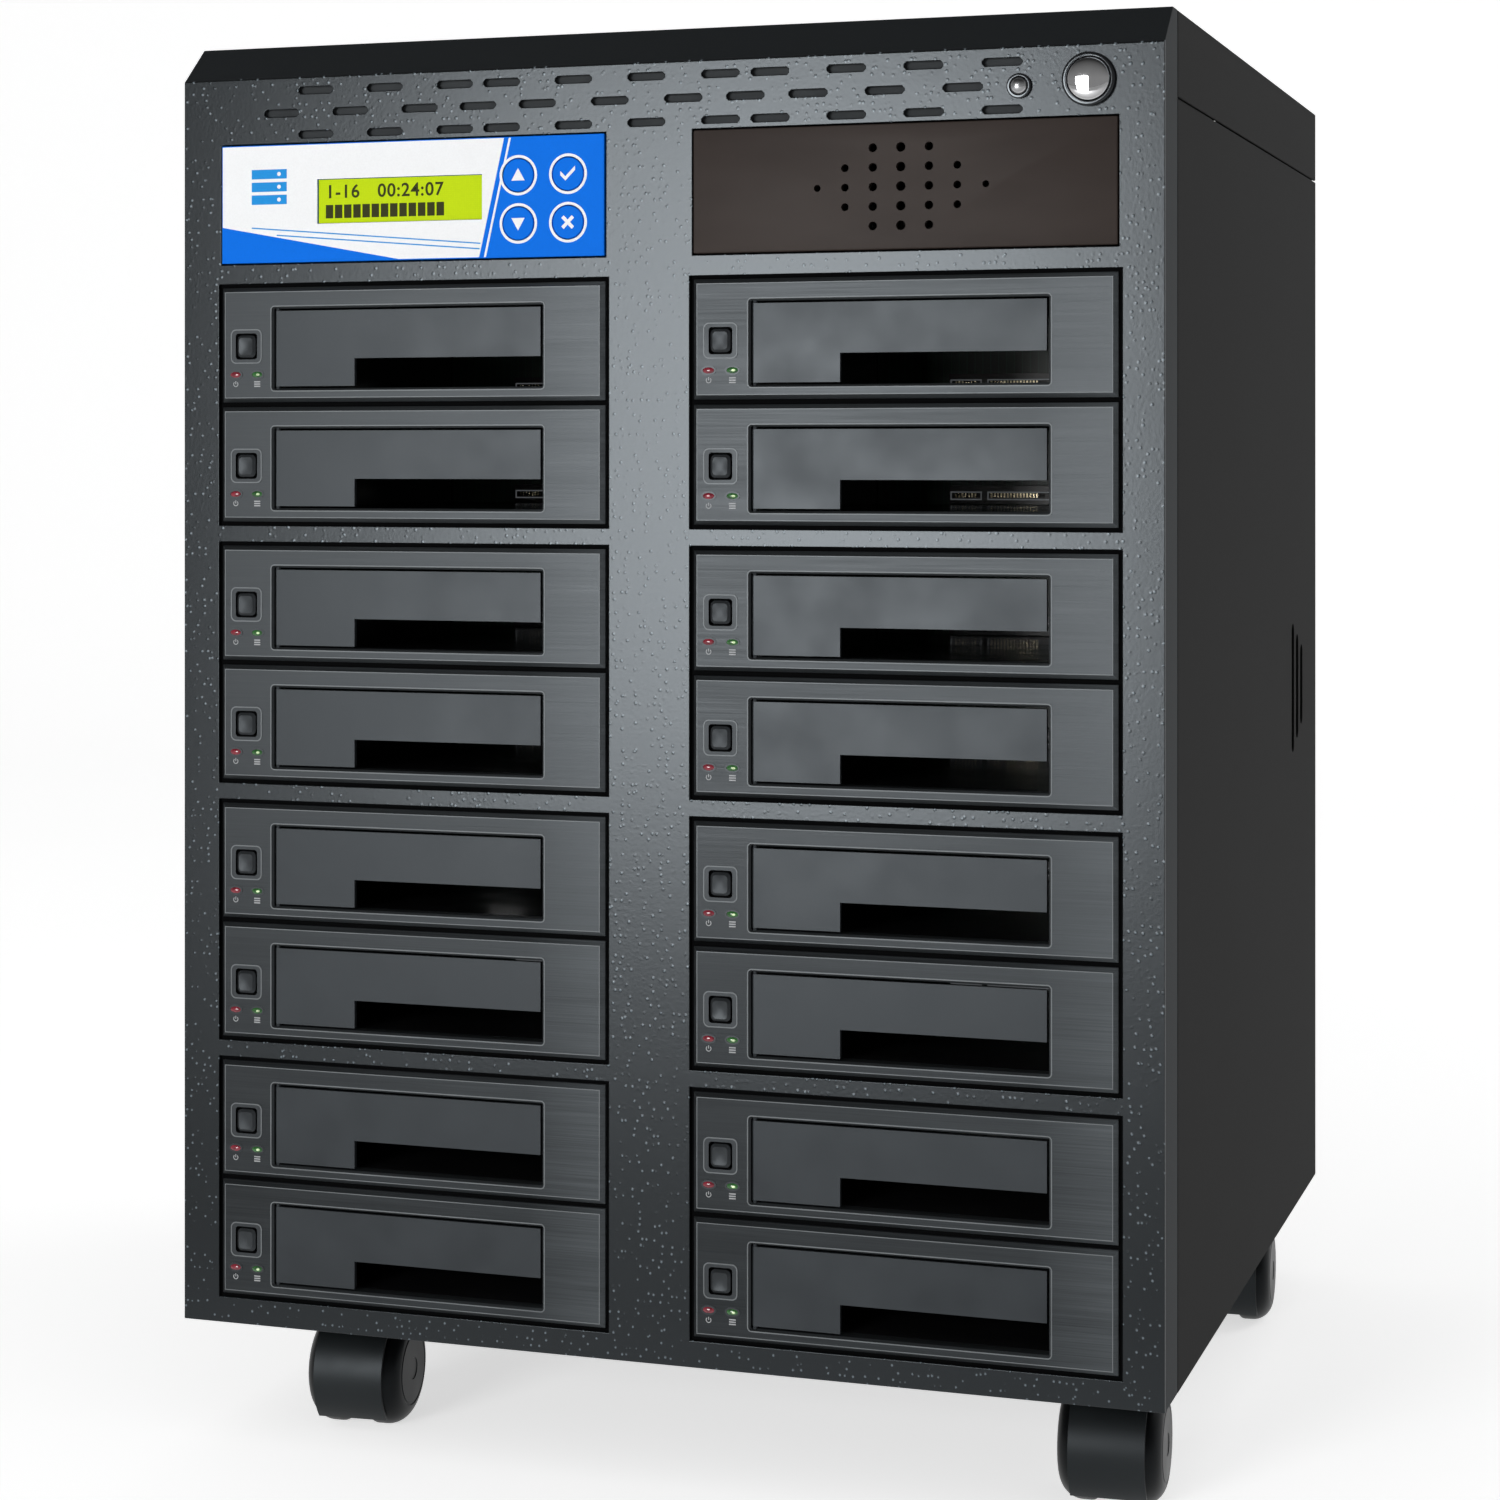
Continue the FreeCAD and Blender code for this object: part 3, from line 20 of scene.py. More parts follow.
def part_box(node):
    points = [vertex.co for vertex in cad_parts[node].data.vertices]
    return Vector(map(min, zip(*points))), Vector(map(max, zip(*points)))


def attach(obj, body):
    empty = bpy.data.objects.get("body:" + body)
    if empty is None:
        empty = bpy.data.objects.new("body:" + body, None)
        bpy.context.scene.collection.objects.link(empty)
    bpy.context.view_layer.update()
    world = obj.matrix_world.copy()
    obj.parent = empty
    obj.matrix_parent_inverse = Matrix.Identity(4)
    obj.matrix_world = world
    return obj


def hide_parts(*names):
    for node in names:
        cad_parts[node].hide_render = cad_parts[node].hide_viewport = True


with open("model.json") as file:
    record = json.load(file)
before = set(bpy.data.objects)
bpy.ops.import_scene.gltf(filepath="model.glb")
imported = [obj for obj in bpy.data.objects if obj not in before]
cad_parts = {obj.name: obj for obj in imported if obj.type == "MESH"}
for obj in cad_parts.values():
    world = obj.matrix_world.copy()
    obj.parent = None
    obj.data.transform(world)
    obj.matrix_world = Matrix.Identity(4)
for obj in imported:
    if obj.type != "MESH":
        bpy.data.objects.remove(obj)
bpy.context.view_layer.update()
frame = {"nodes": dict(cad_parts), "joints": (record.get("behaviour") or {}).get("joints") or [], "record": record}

# %% [markdown]
# ## Measures
#
# Blender counts in metres, and the pieces here are a few millimetres, so `MM` turns one into the
# other. The pitches of the racks are read off the frame instead of written down: sixteen bays in two
# columns, and in each column four pairs of racks. What is made for the first bay is repeated by them.

# %% Units and the places that everything is measured from
MM = 0.001
CABINET = "cabinet"


def middle(node):
    """Centre of a CAD node's box."""
    low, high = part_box(node)
    return (low + high) / 2


panel_low, panel_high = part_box("front_panel")
bezel_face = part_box("rack_bezels")[0].y
rear_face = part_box("chassis")[1].y
BAYS = range(1, 17)
column_pitch = middle("rack_button_09").x - middle("rack_button_01").x
rack_pitch = middle("rack_button_01").z - middle("rack_button_02").z
pair_pitch = middle("rack_button_01").z - middle("rack_button_03").z
racks_low, racks_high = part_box("rack_bezels")
bezel_width = racks_high.x - racks_low.x - column_pitch
bezel_height = racks_high.z - racks_low.z - 3 * pair_pitch - rack_pitch
print(f"columns {column_pitch / MM:.1f} mm apart, racks {rack_pitch / MM:.1f}, pairs {pair_pitch / MM:.1f}")

# %% [markdown]
# ## Materials
#
# A material here is a small tree of nodes. All of them read Object coordinates: every finished piece
# sits at the origin with its place in its mesh, so a pattern keeps its scale in metres on every piece.
# A few helpers keep the trees short. `Tree` adds a node, sets its inputs, and joins sockets.

# %% A helper that builds shader trees
class Tree:
    """A node tree with short words for adding nodes and joining them."""

    def __init__(self, tree):
        self.tree = tree

    def add(self, kind, inputs=None, **settings):
        """A node of a kind, with its settings made and its inputs fed."""
        made = self.tree.nodes.new(kind)
        for word, setting in settings.items():
            setattr(made, word, setting)
        for socket, source in (inputs or {}).items():
            self.feed(made.inputs[socket], source)
        return made

    def feed(self, socket, source):
        """Join a socket to another one, or set its plain value."""
        if isinstance(source, bpy.types.NodeSocket):
            self.tree.links.new(source, socket)
        elif isinstance(source, bpy.types.Node):
            self.tree.links.new(source.outputs[0], socket)
        else:
            socket.default_value = source

    def math(self, operation, a, b=0.0):
        """One sum of two values or sockets."""
        return self.add("ShaderNodeMath", {0: a, 1: b}, operation=operation)

    def spread(self, source, low, high, to_low, to_high):
        """Map a range of values onto another one, held at both ends."""
        return self.add("ShaderNodeMapRange", {
            "Value": source, "From Min": low, "From Max": high, "To Min": to_low, "To Max": to_high})

    def ramp(self, source, stops):
        """A colour ramp; each stop is (position, colour)."""
        made = self.add("ShaderNodeValToRGB", {0: source})
        band = made.color_ramp.elements
        while len(band) < len(stops):
            band.new(0.5)
        for element, (position, colour) in zip(band, stops):
            element.position = position
            element.color = (*colour, 1.0)
        return made


def new_material(name):
    """An empty material: its tree, its Principled shader and its Object coordinates."""
    material = bpy.data.materials.new(name)
    material.use_nodes = True
    tree = Tree(material.node_tree)
    shader = material.node_tree.nodes["Principled BSDF"]
    place = tree.add("ShaderNodeTexCoord").outputs["Object"]
    return material, tree, shader, place


def set_plain(shader, **values):
    """Values that are the same all over go straight onto the shader's own sockets."""
    for word, setting in values.items():
        shader.inputs[word.replace("_", " ")].default_value = setting


def stretched(tree, place, scale):
    """Object coordinates scaled along each axis, to draw a pattern out."""
    return tree.add("ShaderNodeMapping", {"Vector": place, "Scale": scale}).outputs[0]


def noise(tree, place, scale, detail=3.0, roughness=0.5):
    """A grey noise over a place, with a scale per metre."""
    return tree.add("ShaderNodeTexNoise", {
        "Vector": place, "Scale": scale, "Detail": detail, "Roughness": roughness}).outputs[0]


def bump(tree, height, strength, distance):
    """A normal that leans as a height does; its distance is in metres."""
    return tree.add("ShaderNodeBump", {
        "Height": height, "Strength": strength, "Distance": distance}).outputs[0]


def grey(level, tint=(1.0, 1.0, 1.0)):
    """A grey, or a tint made lighter or darker by a factor."""
    return tuple(level * part for part in tint)


print("a tint at half strength:", grey(0.5, (0.2, 0.4, 0.8)))

# %% [markdown]
# ### Hammered powder coat
#
# The front is sprayed with a textured powder that sets as small round drops on a smooth skin. A noise
# looks like sand there. A Voronoi texture gives each drop its own cell: the distance to the cell's
# point is a round hill, and the cell's own shade leaves some cells bare, so that the drops stand
# apart. Their crowns are painted lighter, a painted glint of the light that their slopes catch. The
# texture is flat, in X and Z, so that no cell is cut off centre. The skin is satin and a little
# wavy, and mirrors a lamp as one broad soft band.

# %% Hammered coat and fine coat
COOL = (0.86, 0.94, 1.0, 1.0)    # the faint blue of dark coats and plastics where they shine
DROPS_PER_METRE = 420.0
CROWN = 22.0                     # how much lighter a drop's crown is painted than the coat, as a painted glint
DROP_HEIGHT = 0.07 * MM
FACE_ENDS = 0.4 * MM             # depth behind the front face at which its flat part ends
BEVEL_STARTS = 1.0 * MM


def hammered_coat(name, colour, roughness):
    """Textured powder coat: a smooth satin skin with small round drops."""
    material, tree, shader, place = new_material(name)
    flat = tree.add("ShaderNodeSeparateXYZ", {0: place})
    front = tree.add("ShaderNodeCombineXYZ", {0: flat.outputs[0], 1: flat.outputs[2]})
    cells = tree.add("ShaderNodeTexVoronoi", {
        "Vector": front, "Scale": DROPS_PER_METRE}, voronoi_dimensions="2D")
    drops = tree.spread(cells.outputs["Distance"], 0.0, 0.30, 1.0, 0.0)
    filled = tree.spread(tree.add("ShaderNodeRGBToBW", {0: cells.outputs["Color"]}), 0.50, 0.78, 0.0, 1.0)
    # behind the flat face come the bevel and the returns, where the coat is thin, matt and has no drops
    behind = tree.spread(
        flat.outputs[1], panel_low.y + FACE_ENDS, panel_low.y + BEVEL_STARTS, 0.0, 1.0)
    hills = tree.math("MULTIPLY", tree.math("MULTIPLY", drops, filled), tree.math("SUBTRACT", 1.0, behind))
    height = tree.math("ADD", hills, tree.math("MULTIPLY", noise(tree, place, 800.0, 2.0), 0.4))
    # painted glint: the crown of each drop is painted many times lighter than the coat
    shade = tree.ramp(hills, [(0.30, colour), (0.62, grey(CROWN, colour))])
    tree.feed(shader.inputs["Base Color"], shade)
    tree.feed(shader.inputs["Roughness"], tree.spread(behind, 0.0, 1.0, roughness, 0.8))
    tree.feed(shader.inputs["Normal"], bump(tree, height, 0.7, DROP_HEIGHT))
    set_plain(shader, Specular_IOR_Level=0.45, Specular_Tint=COOL)
    return material


def fine_coat(name, colour, roughness, specular):
    """Matt powder coat: an even, sandy skin with faint cloudiness."""
    material, tree, shader, place = new_material(name)
    grain = noise(tree, place, 2600.0, 2.0)
    cloud = noise(tree, place, 14.0, 3.0)
    shade = tree.ramp(cloud, [(0.3, grey(0.88, colour)), (0.7, grey(1.12, colour))])
    tree.feed(shader.inputs["Base Color"], shade)
    tree.feed(shader.inputs["Roughness"], tree.spread(grain, 0.3, 0.7, roughness - 0.05, roughness + 0.05))
    tree.feed(shader.inputs["Normal"], bump(tree, grain, 0.25, 0.12 * MM))
    set_plain(shader, Specular_IOR_Level=specular)
    return material


coat_front = hammered_coat("coat_front", (0.0056, 0.0068, 0.0076), 0.25)
coat_sides = fine_coat("coat_sides", (0.0068, 0.0068, 0.0068), 0.7, 0.06)
coat_rear = fine_coat("coat_rear", (0.030, 0.031, 0.033), 0.55, 0.3)
print("coats:", coat_front.name, coat_sides.name, coat_rear.name)

# %% [markdown]
# ### Brushed and moulded plastics
#
# The bezels are dark mouldings whose faces look brushed: hair-fine streaks that run sideways. The
# streaks are one noise, drawn out along X by a Mapping node, and they change colour, gloss and height
# together. The doors are the same plastic without the brushing, so they get a soft mottling instead.

# %% Brushed bezel, plain door, satin button
def brushed_plastic(name, colour, roughness, contrast):
    """A dark moulding with hair-fine streaks along X, and painted shade and highlight along its length."""
    material, tree, shader, place = new_material(name)
    streak = noise(tree, stretched(tree, place, (22.0, 300.0, 2300.0)), 1.0, 4.0, 0.6)
    slow = noise(tree, stretched(tree, place, (9.0, 60.0, 130.0)), 1.0, 2.0)
    mix = tree.math("ADD", tree.math("MULTIPLY", streak, 0.65), tree.math("MULTIPLY", slow, 0.35))
    shade = tree.ramp(mix, [
        (0.30, grey(1.0 - contrast, colour)), (0.52, colour), (0.72, grey(1.0 + contrast, colour))])
    # painted shade and highlight: each moulding is darker at its left end and lighter towards its right
    x = tree.add("ShaderNodeSeparateXYZ", {0: place}).outputs[0]
    part = tree.math("FRACT", tree.math("DIVIDE", tree.math("SUBTRACT", x, racks_low.x), column_pitch))
    lift = tree.add("ShaderNodeRGBToBW", {0: tree.ramp(part, [
        (0.02, grey(0.16)), (0.66, grey(0.26)), (0.80, grey(0.58))])})
    shade = tree.add("ShaderNodeVectorMath", {
        0: shade, "Scale": tree.math("MULTIPLY", lift, 4.0)}, operation="SCALE")
    tree.feed(shader.inputs["Base Color"], shade)
    tree.feed(shader.inputs["Roughness"], tree.spread(mix, 0.3, 0.7, roughness - 0.07, roughness + 0.09))
    tree.feed(shader.inputs["Normal"], bump(tree, streak, 0.22, 0.08 * MM))
    set_plain(shader, Anisotropic=0.5, Specular_IOR_Level=0.34, Specular_Tint=COOL)
    return material


def moulded_plastic(name, colour, roughness, specular=0.5, grain_scale=1400.0,
                     grain_depth=0.04 * MM):
    """Injection moulded plastic: fine grain and a slight change of gloss over the surface."""
    material, tree, shader, place = new_material(name)
    grain = noise(tree, place, grain_scale, 3.0)
    cloud = noise(tree, place, 45.0, 2.0)
    shade = tree.ramp(cloud, [(0.3, grey(0.86, colour)), (0.7, grey(1.14, colour))])
    tree.feed(shader.inputs["Base Color"], shade)
    tree.feed(shader.inputs["Roughness"], tree.spread(cloud, 0.3, 0.7, roughness - 0.04, roughness + 0.06))
    tree.feed(shader.inputs["Normal"], bump(tree, grain, 0.3, grain_depth))
    set_plain(shader, Specular_IOR_Level=specular, Specular_Tint=COOL)
    return material


plastic_bezel = brushed_plastic("plastic_bezel", (0.026, 0.029, 0.031), 0.34, 0.4)
# painted highlight: the light grey of fine edges that catch the light
plastic_edge = moulded_plastic("plastic_edge", (0.15, 0.16, 0.165), 0.4, 0.4)
plastic_door = moulded_plastic("plastic_door", (0.024, 0.027, 0.030), 0.36, 0.32)
plastic_button = moulded_plastic("plastic_button", (0.020, 0.022, 0.024), 0.40, 0.4)
# painted shade: a near-black for sheets put where only shade shows
foam_black = moulded_plastic("foam_black", (0.0025, 0.0025, 0.0027), 0.9, 0.05, 900.0, 0.2 * MM)
plastic_black = moulded_plastic("plastic_black", (0.012, 0.012, 0.013), 0.38)
plastic_gloss_black = moulded_plastic("plastic_gloss_black", (0.008, 0.008, 0.009), 0.12, 0.6)
plastic_caster = moulded_plastic("plastic_caster", (0.0070, 0.0085, 0.0090), 0.42, 0.28)
plastic_wheel = moulded_plastic("plastic_wheel", (0.0020, 0.0022, 0.0024), 0.36, 0.14)
plastic_fan = moulded_plastic("plastic_fan", (0.018, 0.018, 0.019), 0.45)
print("plastics:", ", ".join(one.name for one in bpy.data.materials if one.name.startswith("plastic")))

# %% [markdown]
# ### Smoked plate, display, print and lamps
#
# The vent plate is tinted plastic with a soft sheen over a warm brown body. The display is lit from
# behind: its colour comes partly from emission, kept low enough to render about as it is written.
# Printed inks are plain and matt, with a faint screen-print grain.

# %% Smoked plate, printed inks, display and lamp glass
def smoked_plate(name):
    """Tinted plate: a warm brown body under a slightly rippled skin."""
    material, tree, shader, place = new_material(name)
    cloud = noise(tree, stretched(tree, place, (20.0, 20.0, 55.0)), 1.0, 3.0)
    shade = tree.ramp(cloud, [(0.3, (0.034, 0.026, 0.023)), (0.7, (0.043, 0.033, 0.029))])
    tree.feed(shader.inputs["Base Color"], shade)
    ripple = noise(tree, stretched(tree, place, (18.0, 18.0, 60.0)), 1.0, 1.0)
    tree.feed(shader.inputs["Normal"], bump(tree, ripple, 0.35, 1.2 * MM))
    set_plain(shader, Roughness=0.45, Specular_IOR_Level=0.1)
    return material


def printed_ink(name, colour):
    """Matt ink with a faint screen-print grain."""
    material, tree, shader, place = new_material(name)
    grain = noise(tree, place, 1800.0, 2.0)
    shade = tree.ramp(grain, [(0.3, grey(0.96, colour)), (0.7, colour)])
    tree.feed(shader.inputs["Base Color"], shade)
    tree.feed(shader.inputs["Normal"], bump(tree, grain, 0.1, 0.03 * MM))
    set_plain(shader, Roughness=0.6, Specular_IOR_Level=0.08)
    return material


def display_glass(name):
    """Backlit character display: faint rows of dots under a smooth film."""
    material, tree, shader, place = new_material(name)
    cells = tree.add("ShaderNodeTexBrick", {
        "Vector": tree.add("ShaderNodeMapping", {
            "Vector": place, "Rotation": (math.radians(90.0), 0.0, 0.0)}).outputs[0],
        "Color1": (0.47, 0.63, 0.0, 1.0), "Color2": (0.49, 0.65, 0.0, 1.0),
        "Mortar": (0.45, 0.60, 0.0, 1.0), "Scale": 400.0, "Mortar Size": 0.02,
        "Brick Width": 0.28, "Row Height": 0.28}, offset=0.0)
    tree.feed(shader.inputs["Base Color"], cells)
    tree.feed(shader.inputs["Emission Color"], cells)
    set_plain(shader, Roughness=0.5, Emission_Strength=0.15, Specular_IOR_Level=0.08)
    return material


def lamp_glass(name, colour, glow):
    """Tinted light pipe, mottled darker and lighter, that glows a little; it also makes the painted highlight."""
    material, tree, shader, place = new_material(name)
    cloud = noise(tree, place, 700.0, 2.0)
    shade = tree.ramp(cloud, [(0.35, grey(0.45, colour)), (0.6, colour)])
    tree.feed(shader.inputs["Base Color"], shade)
    tree.feed(shader.inputs["Emission Color"], shade)
    set_plain(shader, Roughness=0.14, Emission_Strength=glow, Coat_Weight=0.6, Coat_Roughness=0.05)
    return material


smoke = smoked_plate("smoke")
ink_white = printed_ink("ink_white", (0.93, 0.94, 0.95))
ink_blue = printed_ink("ink_blue", (0.0, 0.165, 0.80))
ink_sky = printed_ink("ink_sky", (0.02, 0.30, 0.75))
ink_dark = printed_ink("ink_dark", (0.040, 0.045, 0.012))
ink_legend = printed_ink("ink_legend", (0.42, 0.43, 0.44))
display_lit = display_glass("display_lit")
lamp_red = lamp_glass("lamp_red", (0.24, 0.02, 0.035), 0.15)
lamp_green = lamp_glass("lamp_green", (0.03, 0.13, 0.03), 0.15)
# painted highlight: a pale glass that glows strongly, for the highlight on each green lamp
lamp_spark = lamp_glass("lamp_spark", (0.62, 0.80, 0.45), 0.5)
print("inks and glass:", smoke.name, ink_white.name, ink_blue.name, display_lit.name, lamp_red.name)

# %% [markdown]
# ### Metals
#
# Zinc-plated sheet shows crystals, so its gloss and colour vary in cells; a Voronoi does that well.
# Polished chrome needs nothing but a clean surface and something to reflect, with a little haze.

# %% Zinc, chrome, blackened screws, gilt, dark cage steel and circuit board
def zinc_sheet(name, colour, roughness):
    """Zinc-plated sheet with crystals of slightly different gloss."""
    material, tree, shader, place = new_material(name)
    cells = tree.add("ShaderNodeTexVoronoi", {"Vector": place, "Scale": 190.0}).outputs["Color"]
    level = tree.add("ShaderNodeRGBToBW", {0: cells})
    shade = tree.ramp(level, [(0.2, grey(0.86, colour)), (0.8, grey(1.1, colour))])
    tree.feed(shader.inputs["Base Color"], shade)
    tree.feed(shader.inputs["Roughness"], tree.spread(level, 0.2, 0.8, roughness - 0.08, roughness + 0.1))
    tree.feed(shader.inputs["Normal"], bump(tree, noise(tree, place, 700.0), 0.1, 0.05 * MM))
    set_plain(shader, Metallic=1.0)
    return material


def polished_metal(name, colour, roughness):
    """Clean metal with a little haze."""
    material, tree, shader, place = new_material(name)
    haze = noise(tree, place, 260.0, 3.0)
    tree.feed(shader.inputs["Base Color"], tree.ramp(haze, [(0.3, grey(0.96, colour)), (0.7, colour)]))
    tree.feed(shader.inputs["Roughness"], tree.spread(haze, 0.3, 0.7, roughness, roughness + 0.05))
    set_plain(shader, Metallic=1.0)
    return material


def copper_tracks(tree, place):
    """Green solder mask with darker copper tracks under it."""
    return tree.add("ShaderNodeTexBrick", {
        "Vector": place, "Color1": (0.006, 0.055, 0.025, 1.0), "Color2": (0.010, 0.085, 0.038, 1.0),
        "Mortar": (0.02, 0.13, 0.06, 1.0), "Scale": 160.0, "Mortar Size": 0.03})


def circuit_board(name):
    """A varnished circuit board."""
    material, tree, shader, place = new_material(name)
    tree.feed(shader.inputs["Base Color"], copper_tracks(tree, place))
    tree.feed(shader.inputs["Normal"], bump(tree, noise(tree, place, 900.0), 0.1, 0.05 * MM))
    set_plain(shader, Roughness=0.3, Coat_Weight=0.3)
    return material


zinc = zinc_sheet("zinc", (0.50, 0.51, 0.52), 0.42)
chrome = polished_metal("chrome", (0.80, 0.80, 0.81), 0.03)
screw_black = polished_metal("screw_black", (0.10, 0.10, 0.105), 0.30)
contact_gold = polished_metal("contact_gold", (0.70, 0.62, 0.42), 0.25)
cage_dark = moulded_plastic("cage_dark", (0.012, 0.012, 0.013), 0.16, 0.45)
board_green = circuit_board("board_green")
print("materials:", len(bpy.data.materials))

# %% [markdown]
# ## Softened edges
#
# A CAD solid has mathematically sharp edges, and no real edge is that sharp: folded sheet has a bend,
# a moulding has a radius. Those small rounds catch the light as thin bright lines. The CAD mesh itself
# isn't touched. A copy is merged, its flat triangles are dissolved into clean faces, and a Bevel
# modifier rounds every edge sharper than 30 degrees. The copy then stands for the CAD node.

# %% Helpers: make a mesh, link it, bake it, settle it
def mesh_from(shape, name, smooth=True, sharp=None):
    """Turn a bmesh into a mesh, and keep its edges above an angle in degrees sharp."""
    mesh = bpy.data.meshes.new(name)
    shape.to_mesh(mesh)
    shape.free()
    for face in mesh.polygons:
        face.use_smooth = smooth
    if sharp is not None:
        mesh.set_sharp_from_angle(angle=math.radians(sharp))
    return mesh


def wear(piece, material):
    """Give a piece one material and no other."""
    piece.data.materials.clear()
    piece.data.materials.append(material)
    return piece


def link(name, mesh, material=None):
    """Put a mesh into the scene as a piece."""
    piece = bpy.data.objects.new(name, mesh)
    bpy.context.scene.collection.objects.link(piece)
    return wear(piece, material) if material else piece


def bake(piece):
    """Replace a piece's live modifiers, text or curve by the plain mesh that they give."""
    bpy.context.view_layer.update()
    depsgraph = bpy.context.evaluated_depsgraph_get()
    mesh = bpy.data.meshes.new_from_object(
        piece.evaluated_get(depsgraph), preserve_all_data_layers=True, depsgraph=depsgraph)
    if piece.type == "MESH":
        piece.modifiers.clear()
        piece.data = mesh
        return piece
    name = piece.name
    bpy.data.objects.remove(piece)
    return link(name, mesh)


def settle(piece, body, slot, *stands_for):
    """A finished piece rides on a body and hides the nodes that it stands for; its slot is not used."""
    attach(piece, body)
    if stands_for:
        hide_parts(*stands_for)
    return piece


def weld(piece):
    """Merge what lies on the same spot and turn every face outwards."""
    shape = bmesh.new()
    shape.from_mesh(piece.data)
    bmesh.ops.remove_doubles(shape, verts=shape.verts, dist=1e-6)
    bmesh.ops.recalc_face_normals(shape, faces=shape.faces)
    shape.to_mesh(piece.data)
    shape.free()
    return piece


# %% Helpers: soften or paint a CAD node
EDGE_ANGLE = 30.0                # degrees above which an edge is rounded


def body_of_node(node):
    """The body that a node moves with."""
    for body, members in frame["record"]["behaviour"]["bodies"].items():
        if node in members:
            return body
    return CABINET


def slot_of_node(node):
    """The material slot that the record gives a node."""
    for row in frame["record"]["subparts"]:
        if row["node"] == node:
            return row["material_slot"]
    return None


def merged_copy(node):
    """A welded copy of a CAD node's mesh, with its flat triangles joined into faces."""
    shape = bmesh.new()
    shape.from_mesh(frame["nodes"][node].data)
    bmesh.ops.remove_doubles(shape, verts=shape.verts, dist=2e-6)
    bmesh.ops.dissolve_limit(
        shape, angle_limit=math.radians(0.6), verts=shape.verts, edges=shape.edges)
    return mesh_from(shape, node + "_soft")


def soften(node, radius, material):
    """A copy of a CAD node with rounded edges, which stands for it."""
    piece = link(node + "_soft", merged_copy(node), material)
    rounding = piece.modifiers.new("rounding", "BEVEL")
    rounding.width = radius
    rounding.segments = 2
    rounding.limit_method = "ANGLE"
    rounding.angle_limit = math.radians(EDGE_ANGLE)
    rounding.use_clamp_overlap = True
    shading = piece.modifiers.new("shading", "WEIGHTED_NORMAL")
    shading.keep_sharp = True
    bake(piece)
    return settle(piece, body_of_node(node), slot_of_node(node), node)


def paint(node, material):
    """A CAD node whose shape is right keeps it and gets a finish."""
    wear(frame["nodes"][node], material)


def report(*pieces):
    """Print the faces of some pieces."""
    for piece in pieces:
        print(f"{piece.name}: {len(piece.data.polygons)} faces")


# %% Outer panels
FRONT_BEND, COVER_BEND, SIDE_EDGE = 0.45 * MM, 0.4 * MM, 0.3 * MM
report(soften("front_panel", FRONT_BEND, coat_front),
       soften("top_cover", COVER_BEND, coat_sides),
       soften("side_panels", SIDE_EDGE, coat_sides))

# %% Rack mouldings and doors
BEZEL_EDGE, DOOR_EDGE = 0.22 * MM, 0.2 * MM
report(soften("rack_bezels", BEZEL_EDGE, plastic_bezel))
for number in BAYS:
    door = soften(f"drive_door_{number:02d}", DOOR_EDGE, plastic_door)
report(door)

# %% [markdown]
# ## Rack buttons
#
# Each bay has a small square button with a bevelled rim and a slightly hollow face that catches a soft
# spot of light. The CAD button gives its size. The face is a small grid, pushed in by a smooth dish,
# which a shader bump couldn't do: a bump has no outline when it is seen from the side.

# %% Dished square buttons
DISH_DEPTH = 0.3 * MM
BUTTON_RIM = 0.9 * MM
FACE_BACK = 0.1 * MM             # the face's edge lies this far behind the CAD button's front
CORNER_CUT = 0.13
SHARP = 35.0                     # degrees above which an edge is shaded sharp


def round_corner(across, up):
    """Draw the corner of a square from -1 to 1 inwards, and leave its sides straight."""
    return across * (1.0 - CORNER_CUT * abs(up) ** 8), up * (1.0 - CORNER_CUT * abs(across) ** 8)


def button_mesh(name, low, high):
    """A square button between two corners, with its face towards -Y."""
    steps = 10
    centre, half = (low + high) / 2, (high - low) / 2
    shape = bmesh.new()

    def corner(row, column, rim, y):
        across, up = round_corner(2.0 * column / steps - 1.0, 2.0 * row / steps - 1.0)
        return shape.verts.new((centre.x + across * (half.x - rim), y, centre.z + up * (half.z - rim)))

    def dish(row, column):
        across, up = 2.0 * column / steps - 1.0, 2.0 * row / steps - 1.0
        return DISH_DEPTH * (1.0 - across * across) * (1.0 - up * up)

    grid = [[corner(row, column, BUTTON_RIM, low.y + FACE_BACK + dish(row, column))
             for column in range(steps + 1)] for row in range(steps + 1)]
    for row in range(steps):
        for column in range(steps):
            shape.faces.new((grid[row][column], grid[row][column + 1],
                             grid[row + 1][column + 1], grid[row + 1][column]))
    # rim, sides and back follow the edge of the face in two rings
    edge = ([(0, i) for i in range(steps)] + [(i, steps) for i in range(steps)]
            + [(steps, i) for i in range(steps, 0, -1)] + [(i, 0) for i in range(steps, 0, -1)])
    last = [grid[row][column] for row, column in edge]
    for y in (low.y + BUTTON_RIM, high.y):
        ring = [corner(row, column, 0.0, y) for row, column in edge]
        for i in range(len(edge)):
            j = (i + 1) % len(edge)
            shape.faces.new((last[i], ring[i], ring[j], last[j]))
        last = ring
    shape.faces.new(last)
    bmesh.ops.recalc_face_normals(shape, faces=shape.faces)
    return mesh_from(shape, name, sharp=SHARP)


for number in BAYS:
    node = f"rack_button_{number:02d}"
    button = link(node + "_dished", button_mesh(node + "_dished", *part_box(node)), plastic_button)
    settle(button, node, "button_plastic", node)
report(button)

# %% [markdown]
# ## One tree that repeats a shape
#
# Lamps, signs, contacts and screws all repeat on a regular grid. One Geometry Nodes tree does it for
# all of them: it takes the piece's own mesh and sets it down along three directions, one after the
# other. A bay's lamp needs all three (two columns, four pairs, two racks in a pair), and a row of
# screws needs one. The tree ends in Realize Instances and Set Material, so it bakes to a plain mesh.

